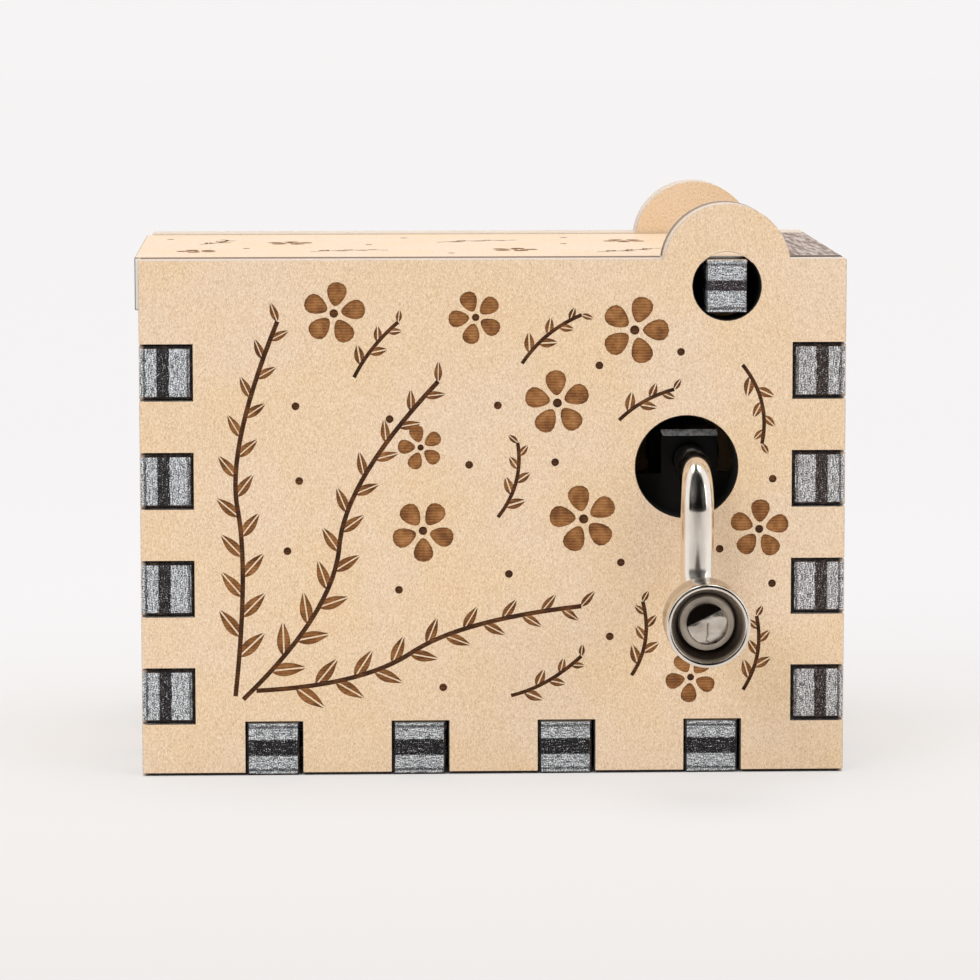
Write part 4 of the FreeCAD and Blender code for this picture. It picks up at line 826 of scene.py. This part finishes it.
def engraved(panel, drawing, to_panel, burns):
    """A panel's mesh with its drawing cut into one face, the cuts scorched."""
    branches, twigs, blossoms, dots = drawing
    toasted, burnt = burns
    ring = [petal(*PETAL, 2 * math.pi * step / PETALS) for step in range(PETALS)]
    outlines = {
        "leaf": ([half_leaf(*LEAF, side) for side in (1, -1)], LEAF_CUT),
        "twig_leaf": ([half_leaf(*TWIG_LEAF, side) for side in (1, -1)], LEAF_CUT),
        "blossom": (ring, LEAF_CUT),
        "dot": ([disc(DOT_UNIT, ROUND_STEPS)], DOT_CUT),
    }
    stamps = {name: link_object(name, prisms(name, *outline)) for name, outline in outlines.items()}
    middles = [(x, y, MIDDLE_SHARE * size, 0) for x, y, size, turn in blossoms]
    spots = [(x, y, DOT_SIZE, 0) for x, y in dots]

    leaf_tree, stem_tree, mark_tree = leaf_rows(), stem_lines(), scattered_marks()
    leafing = {"Angle": LEAF_ANGLE, "Tip Scale": TIP_SCALE, "Bare Stem": BARE_STEM,
               "Material": toasted}
    on_branch = {**leafing, "Leaf": stamps["leaf"], "Spacing": LEAF_SPACING}
    on_twig = {**leafing, "Leaf": stamps["twig_leaf"], "Spacing": TWIG_LEAF_SPACING}
    lines = {"Depth": 2 * STEM_CUT, "Material": burnt}
    cutters = [
        grow(paths("branch_leaves", branches), leaf_tree, on_branch),
        grow(paths("twig_leaves", twigs), leaf_tree, on_twig),
        grow(marked_points("blossoms", blossoms), mark_tree,
             {"Mark": stamps["blossom"], "Material": toasted}),
        grow(paths("branch_stems", branches), stem_tree, {**lines, "Width": STEM_WIDTH}),
        grow(paths("twig_stems", twigs), stem_tree, {**lines, "Width": TWIG_STEM_WIDTH}),
        grow(marked_points("dots", middles + spots), mark_tree,
             {"Mark": stamps["dot"], "Material": burnt}),
    ]
    tools = []
    for cutter in (mesh for mesh in cutters if mesh.polygons):
        cutter.transform(to_panel)
        tool = link_object("cutter", cutter)
        cut = panel.modifiers.new("engraving", "BOOLEAN")
        cut.operation, cut.solver, cut.material_mode = "DIFFERENCE", "EXACT", "TRANSFER"
        cut.use_self = True
        cut.object = tool
        tools.append(tool)
    mesh = settled_mesh(panel)
    for tool in [*tools, *stamps.values()]:
        bpy.data.objects.remove(tool)
    smooth_round_faces(mesh)
    return mesh


def bracket_mesh():
    """The crank's bracket, with a wide chamfer along the top of its front."""
    mesh = welded_copy("crank_bracket")
    with reshaped(mesh) as shape:
        top_edge = [edge for edge in shape.edges
                    if all(v.co.z > BRACKET_TOP - SLACK and v.co.y < BRACKET_FRONT + SLACK
                           for v in edge.verts)]
        bmesh.ops.bevel(shape, geom=top_edge, offset=BRACKET_CHAMFER, segments=1, affect="EDGES")
    return softened(mesh, BRACKET_EDGE)


def rivet_mesh(back, end):
    """The handle's hand-struck end: a low twisted dome, beaten at one side, dented and split."""
    dent_size, dent_depth = 0.6 * MM, 0.06 * MM
    beaten_side, beaten_from, beaten_slope = Vector((0.53, 0, -0.85)), -0.5 * MM, 0.08
    twist = 0.09 / MM
    split_width, split_depth, split_top = 0.08 * MM, 0.12 * MM, 0.1 * MM
    split_sway, sway_length = 0.25 * MM, 0.5 * MM
    radius = ROD_DIAMETER / 2 + RIVET_FLARE
    dome = [(radius * math.cos(math.pi / 2 * step / RIVET_STEPS),
             end + RIVET_DOME - RIVET_DOME * math.sin(math.pi / 2 * step / RIVET_STEPS))
            for step in range(RIVET_STEPS)]
    rivet = lathe("rivet", [(0, back), (radius, back), *dome, (0, end)], HANDLE, False)
    for vertex in rivet.vertices:
        if vertex.co.y < end + RIVET_DOME:
            offset = vertex.co - HANDLE
            across = beaten_side.x * offset.x + beaten_side.z * offset.z
            beaten = beaten_slope * max(0.0, across - beaten_from)
            dent = dent_depth * (0.5 + 0.5 * noise.noise(vertex.co / dent_size))
            wander = split_sway * noise.noise(Vector((0, 0, offset.z / sway_length)))
            in_split = 0.0
            if offset.z < split_top:
                in_split = max(0.0, 1 - abs(offset.x - wander) / split_width)
            hammered = max(0.0, beaten + dent - twist * offset.x * offset.z)
            vertex.co.y += hammered + split_depth * in_split
    for polygon in rivet.polygons:
        polygon.material_index = 1
    return rivet


def crank_rod_mesh(nickel, struck):
    """The bent rod with the handle's end peened over as a rivet."""
    low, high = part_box("crank_rod")
    rivet_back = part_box("knob_washer")[0].y
    corners = [(SHAFT.x, high.y, SHAFT.z), (SHAFT.x, ARM_Y, SHAFT.z), (HANDLE.x, ARM_Y, HANDLE.z),
               (HANDLE.x, rivet_back, HANDLE.z)]
    curve = bpy.data.curves.new("crank_path", "CURVE")
    curve.dimensions = "3D"
    spline = curve.splines.new("POLY")
    spline.points.add(len(corners) - 1)
    for point, corner in zip(spline.points, corners):
        point.co = (*corner, 1)
    rod = grow(link_object("crank_path", curve), bent_rod(),
               {"Diameter": ROD_DIAMETER, "Bend Radius": BEND_RADIUS, "Material": nickel})
    rod.materials.clear()
    rod.materials.append(nickel)
    rod.materials.append(struck)
    with reshaped(rod) as shape:
        shape.from_mesh(rivet_mesh(rivet_back, low.y))
    smooth_round_faces(rod)
    return rod


def crank_knob_mesh():
    """The turned knob: a barrel with a rounded rim and a dished cup, tapering back to its neck."""
    shoulder_in, shoulder_back, floor_round = 0.1 * MM, 0.15 * MM, 0.15 * MM
    low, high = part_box("crank_knob")
    radius = (high.x - low.x) / 2
    front, back = low.y, high.y
    floor = front + KNOB_CUP_DEPTH
    edge = KNOB_RIM_ROUND
    bends = [math.pi / 2 * step / KNOB_RIM_STEPS for step in range(KNOB_RIM_STEPS + 1)]
    outer_rim = [(radius - edge + edge * math.sin(bend), front + edge - edge * math.cos(bend))
                 for bend in bends]
    inner_rim = [(KNOB_MOUTH_RADIUS + edge - edge * math.cos(bend),
                  front + edge - edge * math.sin(bend))
                 for bend in bends]
    profile = [
        (KNOB_BORE_RADIUS, back), (KNOB_BACK_RADIUS - edge, back), (KNOB_BACK_RADIUS, back - edge),
        (radius - shoulder_in, front + KNOB_BARREL + shoulder_back), (radius, front + KNOB_BARREL),
        *reversed(outer_rim), *reversed(inner_rim),
        (KNOB_FLOOR_RADIUS + floor_round, floor - floor_round), (KNOB_FLOOR_RADIUS, floor),
        (KNOB_BORE_RADIUS, floor),
    ]
    mesh = lathe("crank_knob", profile, HANDLE, True)
    smooth_round_faces(mesh)
    return mesh


def drum_mesh(brass):
    """The note drum: a thin tube, and the pins of a tune on its tracks."""
    low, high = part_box("drum")
    axis = Vector((0, DRUM_AXIS.y, DRUM_AXIS.z))
    bore = DRUM_RADIUS - DRUM_WALL
    rim = DRUM_RADIUS - DRUM_EDGE
    profile = [(bore, low.x), (rim, low.x), (DRUM_RADIUS, low.x + DRUM_EDGE),
               (DRUM_RADIUS, high.x - DRUM_EDGE), (rim, high.x), (bore, high.x)]
    tube = lathe("drum", profile, Vector(), True)
    # The lathe turns about Y, so the tube is laid along X with its ends kept in order
    laid = Matrix(((0, 1, 0, 0), (1, 0, 0, 0), (0, 0, -1, 0), (0, 0, 0, 1)))
    tube.transform(Matrix.Translation(axis) @ laid)
    seat = link_object("pin_seat", bpy.data.meshes.new("pin_seat"))
    pins = grow(seat, tune_pins(), {
        "Notes": NOTE_COUNT, "Beats": BEATS_PER_TURN, "Pitch": NOTE_PITCH,
        "Radius": DRUM_RADIUS - DRUM_WALL / 2, "Pin Height": DRUM_WALL / 2 + PIN_HEIGHT,
        "Pin Base": PIN_BASE, "Pin Tip": PIN_TIP, "Chance": PIN_CHANCE, "Seed": TUNE_SEED,
        "Material": brass})
    first_track = low.x + DRUM_MARGIN + NOTE_PITCH / 2
    pins.transform(Matrix.Translation(axis + Vector((first_track, 0, 0))))
    with reshaped(tube) as shape:
        shape.from_mesh(pins)
    smooth_round_faces(tube)
    return tube


def flat_sheet(name, corners, material):
    """One stage rectangle with its material."""
    mesh = bpy.data.meshes.new(name)
    mesh.from_pydata(corners, [], [tuple(range(len(corners)))])
    mesh.materials.append(material)
    sheet = link_object(name, mesh)
    return sheet


def any_seen_ray(add):
    """1 where the camera sees a surface, straight or in a reflection or through glass."""
    path = add("ShaderNodeLightPath").outputs
    seen = add(MATH, {0: path["Is Camera Ray"], 1: path["Is Glossy Ray"]}, operation="MAXIMUM")
    return add(MATH, {0: seen, 1: path["Is Transmission Ray"]}, operation="MAXIMUM")


def pale_paper():
    """The floor's pale paper: it brightens behind the object and glows white far from it.

    Under the case it doesn't glow, so that the joint between them stays dark.
    """
    material, add, shader, place = new_material("pale_floor")
    point = place["Object"]
    places = add(SPLIT, {0: point}).outputs
    # The tone along Y is painted light: darker near the camera, brighter behind the object
    depth = add(RANGE, {0: places[Y], 1: NEAR_FLOOR_Y, 2: FAR_FLOOR_Y})
    colour = add(RAMP, {0: depth}, [
        (0.2, NEAR_FLOOR), (0.75, MIDDLE_FLOOR), (0.86, MIDDLE_FLOOR), (0.98, FAR_FLOOR)])
    away = add(VECTOR_MATH, {0: point}, operation="LENGTH")
    share = add(RANGE, {0: away, 1: NEAR_GLOW_REACH, 2: FAR_GLOW_REACH, 3: NEAR_GLOW, 4: FAR_GLOW})
    beside = [add(MATH, {0: places[axis]}, operation="ABSOLUTE") for axis in (X, Y)]
    outside = [add(MATH, {0: offset, 1: limit}, operation="GREATER_THAN")
               for offset, limit in zip(beside, (CASE_SIDE, -FRONT_FACE))]
    clear = add(MATH, {0: outside[0], 1: outside[1]}, operation="MAXIMUM")
    share = add(MATH, {0: share, 1: clear}, operation="MULTIPLY")
    share = add(MATH, {0: share, 1: any_seen_ray(add)}, operation="MULTIPLY")
    glow = add("ShaderNodeEmission", {"Color": colour})
    surface = add("ShaderNodeMixShader", {0: share, 1: shader, 2: glow})
    # The paper itself is a little darker than it looks lit
    paper = add(VECTOR_MATH, {0: colour, 3: PAPER_TONE}, operation="SCALE")
    set_inputs(shader, {"Base Color": paper, "Roughness": 0.9})
    set_inputs(material.node_tree.nodes["Material Output"], {"Surface": surface})
    return material


# Engraving: a warm brown where the beam swept an area, and a darker one where it cut a line
burns = (scorched_basswood("toasted_basswood", "#6E421E", "#93602F", "#B07C4A"),
         scorched_basswood("burnt_basswood", "#3E2008", "#56300F", "#7A4A22"))

# Nickel plate: a warm mirror on the rod, hazed where its plating crazed at the bend, softer with
# fine rings on the turned knob and painted shade in its cup, grey with a painted dark reflection
# at its upper left on the struck rivet, and a dull sheen on the washer
polished_nickel = handled_metal("polished_nickel", ("#F0E6DA", "#FAF3E9"), (0.09, 0.18), 3,
                                (0.25, 0.25, 1.6), film=(bend_haze, "#FAF3E9", 0.24))
turned_nickel = handled_metal("turned_nickel", ("#E2D8CC", "#EFE7DD"), (0.15, 0.25), 2.5,
                              (0.6, 0.12, 0.6), relief=0.1, film=(cup_painted_shade, "#54483E", 0.6))
struck_nickel = handled_metal("struck_nickel", ("#BAB0A5", "#D8CFC4"), (0.22, 0.36), 0.9,
                              (0.2, 0.2, 0.2), relief=0.1, film=(rivet_painted_reflection, "#1C1613", 0.5))
dull_nickel = handled_metal("dull_nickel_plate", ("#EBDFCF", "#F8EDDE"), (0.55, 0.7), 1.5,
                            (0.3, 0.3, 0.3))

# Zinc: a cool low sheen as plating on the screws, and a slightly grainy grey as the bedplate's
# casting
zinc_plate = handled_metal("zinc_plated_steel", ("#B4B2B0", "#CBCAC8"), (0.32, 0.5), 1.5,
                           (0.3, 0.3, 0.3))
zinc_casting = handled_metal("zinc_die_casting", ("#8E9092", "#A6A8AA"), (0.42, 0.62), 4,
                             (0.35, 0.35, 0.35), relief=0.3)

# The comb's steel shows its grinding lines, lead is dark and dull, and brass has fine rings round
# the drum
ground_steel = handled_metal("ground_spring_steel", ("#A8AAAC", "#C3C5C6"), (0.2, 0.38), 3,
                             (0.12, 2.5, 0.5), relief=0.15)
cast_lead = handled_metal("cast_lead", ("#5C5E62", "#74777B"), (0.5, 0.7), 1, (0.3, 0.3, 0.3),
                          relief=0.3)
drawn_brass = handled_metal("drawn_brass", ("#C79A4A", "#DDB566"), (0.18, 0.34), 4,
                            (0.14, 1.2, 1.2), relief=0.12)

# Moulded nylon and acetal: a matt black bracket with a pale painted highlight along its chamfer,
# creamy wheels with a soft sheen, and a near black worm with a low gloss
HIGHLIGHT_SLANT = BRACKET_FRONT - BRACKET_TOP + BRACKET_CHAMFER + HIGHLIGHT_PAST
black_moulding = moulded_plastic("black_nylon_moulding", ("#080706", "#0E0C0A"), (0.5, 0.62), 1.45,
                                 0.5, highlight_under=HIGHLIGHT_SLANT)
white_nylon = moulded_plastic("natural_nylon", ("#E3DFD2", "#F0ECE0"), (0.35, 0.5), 1.53, 0.4)
black_acetal = moulded_plastic("black_acetal_moulding", ("#18181A", "#222224"), (0.3, 0.42), 1.48,
                               0.3)

# The plywood case and lid, cut from one kind of sheet. The front and lid are engraved
WALL_CORE, BASE_CORE, LID_CORE = (0.345, 0.58), (0.385, 0.695), (0.41, 0.61)
WALL_PLIES, WARM_PLIES = ("#AEB0B3", "#2C2628"), ("#AFA8A4", "#43352E")
BASE_PLIES, LID_PLIES = ("#A0A3A6", "#17161A"), ("#AEB0B3", "#3E3338")
# Upper edges: their painted highlight's pale tone, their dark line's tone (char and painted shade)
# at the left, at the right and on the ears, the span of that line and the share of its smears
LINED_CREST = {"pale": "#E2CBB2", "dark": ("#8A7262", "#1E1611", "#A08B7A"),
               "dark_span": (0.52, 1.0), "smeared": 0.0}
PALE_CREST = {"pale": "#EAD8C4", "dark": ("#C9B19A",) * 3, "dark_span": (0.8, 0.95), "smeared": 0.3}
SMEARED_CREST = {"pale": "#BEA99C", "dark": ("#837268",) * 3, "dark_span": (0.85, 1.0),
                 "smeared": 0.9}
# Holes with walls darkened as painted shade: x, z, radius and how far along Y they reach
HINGE_HOLE = (HINGE.x, HINGE.z, 3.12 * MM, -FRONT_FACE)
CRANK_HOLE = (SHAFT.x - 0.65 * MM, SHAFT.z - 0.07 * MM, 4.68 * MM, -FRONT_FACE)
BEHIND_HINGE_HOLE = (*HINGE_HOLE[:3], 16.5 * MM)
SHEETS = {
    "front_wall": (Y, -1, Z, WALL_CORE, WALL_PLIES, LINED_CREST, [HINGE_HOLE, CRANK_HOLE]),
    "rear_wall": (Y, 1, Z, WALL_CORE, WALL_PLIES, PALE_CREST, [HINGE_HOLE]),
    "left_wall": (X, -1, Z, WALL_CORE, WALL_PLIES, LINED_CREST),
    "right_wall": (X, 1, Z, WALL_CORE, WARM_PLIES, SMEARED_CREST),
    "bottom_panel": (Z, -1, X, BASE_CORE, BASE_PLIES, PALE_CREST),
    "lid": (Z, 1, X, LID_CORE, LID_PLIES, PALE_CREST, [BEHIND_HINGE_HOLE],
            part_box("left_wall")[0].x),
}
ON_FRONT = Matrix(((1, 0, 0, 0), (0, 0, -1, FRONT_FACE), (0, 1, 0, 0), (0, 0, 0, 1)))
ON_LID = Matrix.Translation((0, 0, LID_TOP))
DRAWINGS = {
    "front_wall": ((FRONT_BRANCHES, FRONT_TWIGS, FRONT_BLOSSOMS, FRONT_DOTS), ON_FRONT),
    "lid": (([], LID_TWIGS, LID_BLOSSOMS, LID_DOTS), ON_LID),
}
burnt_corner = charred_corner()
for node, sheet in SHEETS.items():
    panel = cut_panel(node, basswood_plywood(node, *sheet), burnt_corner)
    mesh = engraved(panel, *DRAWINGS[node], burns) if node in DRAWINGS else settled_mesh(panel)
    finish_piece(f"cut_{node}", mesh, None, "lid" if node == "lid" else "case", "basswood_ply",
                 node)

# The crank
rod_mesh = crank_rod_mesh(polished_nickel, struck_nickel)
finish_piece("bent_crank", rod_mesh, None, "crank", "nickel_rod", "crank_rod")
finish_piece("turned_knob", crank_knob_mesh(), turned_nickel, "knob", "nickel_knob", "crank_knob")

# The drum, and the movement's other pieces with their edges softened by so many millimetres
finish_piece("pinned_drum", drum_mesh(drawn_brass), drawn_brass, "drum", "drum_brass", "drum")
SOFTENED = {
    "bedplate": ("case", "zinc_casting", zinc_casting, 0.25),
    "bracket_screws": ("case", "screw_steel", zinc_plate, 0.12),
    "mounting_screws": ("case", "screw_steel", zinc_plate, 0.12),
    "comb": ("case", "comb_steel", ground_steel, 0.05),
    "comb_leads": ("case", "lead_weight", cast_lead, 0.08),
    "comb_screws": ("case", "screw_steel", zinc_plate, 0.12),
    "drum_end_cap": ("drum", "nylon_gear", white_nylon, 0.15),
    "drum_gear": ("drum", "nylon_gear", white_nylon, 0.08),
    "drum_arbor": ("drum", "screw_steel", zinc_plate, 0.15),
    "worm": ("crank", "black_acetal", black_acetal, 0.06),
    "thrust_washer": ("crank", "screw_steel", zinc_plate, 0.1),
    "worm_spacer": ("crank", "black_acetal", black_acetal, 0.12),
    "knob_washer": ("crank", "screw_steel", dull_nickel, 0.06),
}
for node, (body, slot, material, edge_radius) in SOFTENED.items():
    finish_piece(f"soft_{node}", softened(welded_copy(node), edge_radius * MM), material, body,
                 slot, node)
finish_piece("soft_crank_bracket", bracket_mesh(), black_moulding, "case", "black_moulding",
             "crank_bracket")

# The floor
flat_sheet("floor", [(FLOOR_HALF * x, FLOOR_HALF * y, FLOOR_Z)
                     for x, y in ((-1, -1), (1, -1), (1, 1), (-1, 1))], pale_paper())

# A dark card before and over the object, seen only in reflections, draws the dark line down
# polished metal
card_material, _, card_shader, _ = new_material("dark_card")
set_inputs(card_shader, {"Base Color": linear("#0D0B0A"), "Specular IOR Level": 0.0})
for name, near, far in (("front_card", CARD_FOOT, CARD_TOP), ("overhead_card", CARD_TOP, CARD_END)):
    card = flat_sheet(name, [(-near[X], *near[1:]), near, far, (-far[X], *far[1:])], card_material)
    card.visible_camera = card.visible_diffuse = False
    card.visible_shadow = card.visible_transmission = False

# A plain white surround lights the object, and the backdrop's own tone is what is seen
world = bpy.data.worlds.new("soft_studio")
bpy.context.scene.world = world
world.use_nodes = True
world.node_tree.nodes.clear()
add = partial(add_node, world.node_tree)
ambient = add("ShaderNodeBackground", {"Color": linear("#FFFFFF"), "Strength": AMBIENT})
backdrop = add("ShaderNodeBackground", {"Color": linear(BACKDROP)})
sky = add("ShaderNodeMixShader", {0: any_seen_ray(add), 1: ambient, 2: backdrop})
add("ShaderNodeOutputWorld", {0: sky})

for name, (spot, width, height, watts) in SOFTBOXES.items():
    lamp = bpy.data.lights.new(name, "AREA")
    lamp.shape, lamp.size, lamp.size_y, lamp.energy = "RECTANGLE", width, height, watts
    aim = (SOFTBOX_AIM - Vector(spot)).to_track_quat("-Z", "Y").to_matrix().to_4x4()
    link_object(name, lamp).matrix_world = Matrix.Translation(spot) @ aim

camera_data = bpy.data.cameras.new("camera")
camera_data.lens, camera_data.sensor_width = LENS, SENSOR
camera = link_object("camera", camera_data)
ahead = Vector((math.sin(CAMERA_YAW) * math.cos(CAMERA_PITCH),
                math.cos(CAMERA_YAW) * math.cos(CAMERA_PITCH), -math.sin(CAMERA_PITCH)))
aim = ahead.to_track_quat("-Z", "Y").to_matrix().to_4x4()
camera.matrix_world = Matrix.Translation(CAMERA_AT) @ aim @ Matrix.Rotation(CAMERA_ROLL, 4, "Z")
bpy.context.scene.camera = camera
bpy.context.scene.view_settings.view_transform = "Standard"
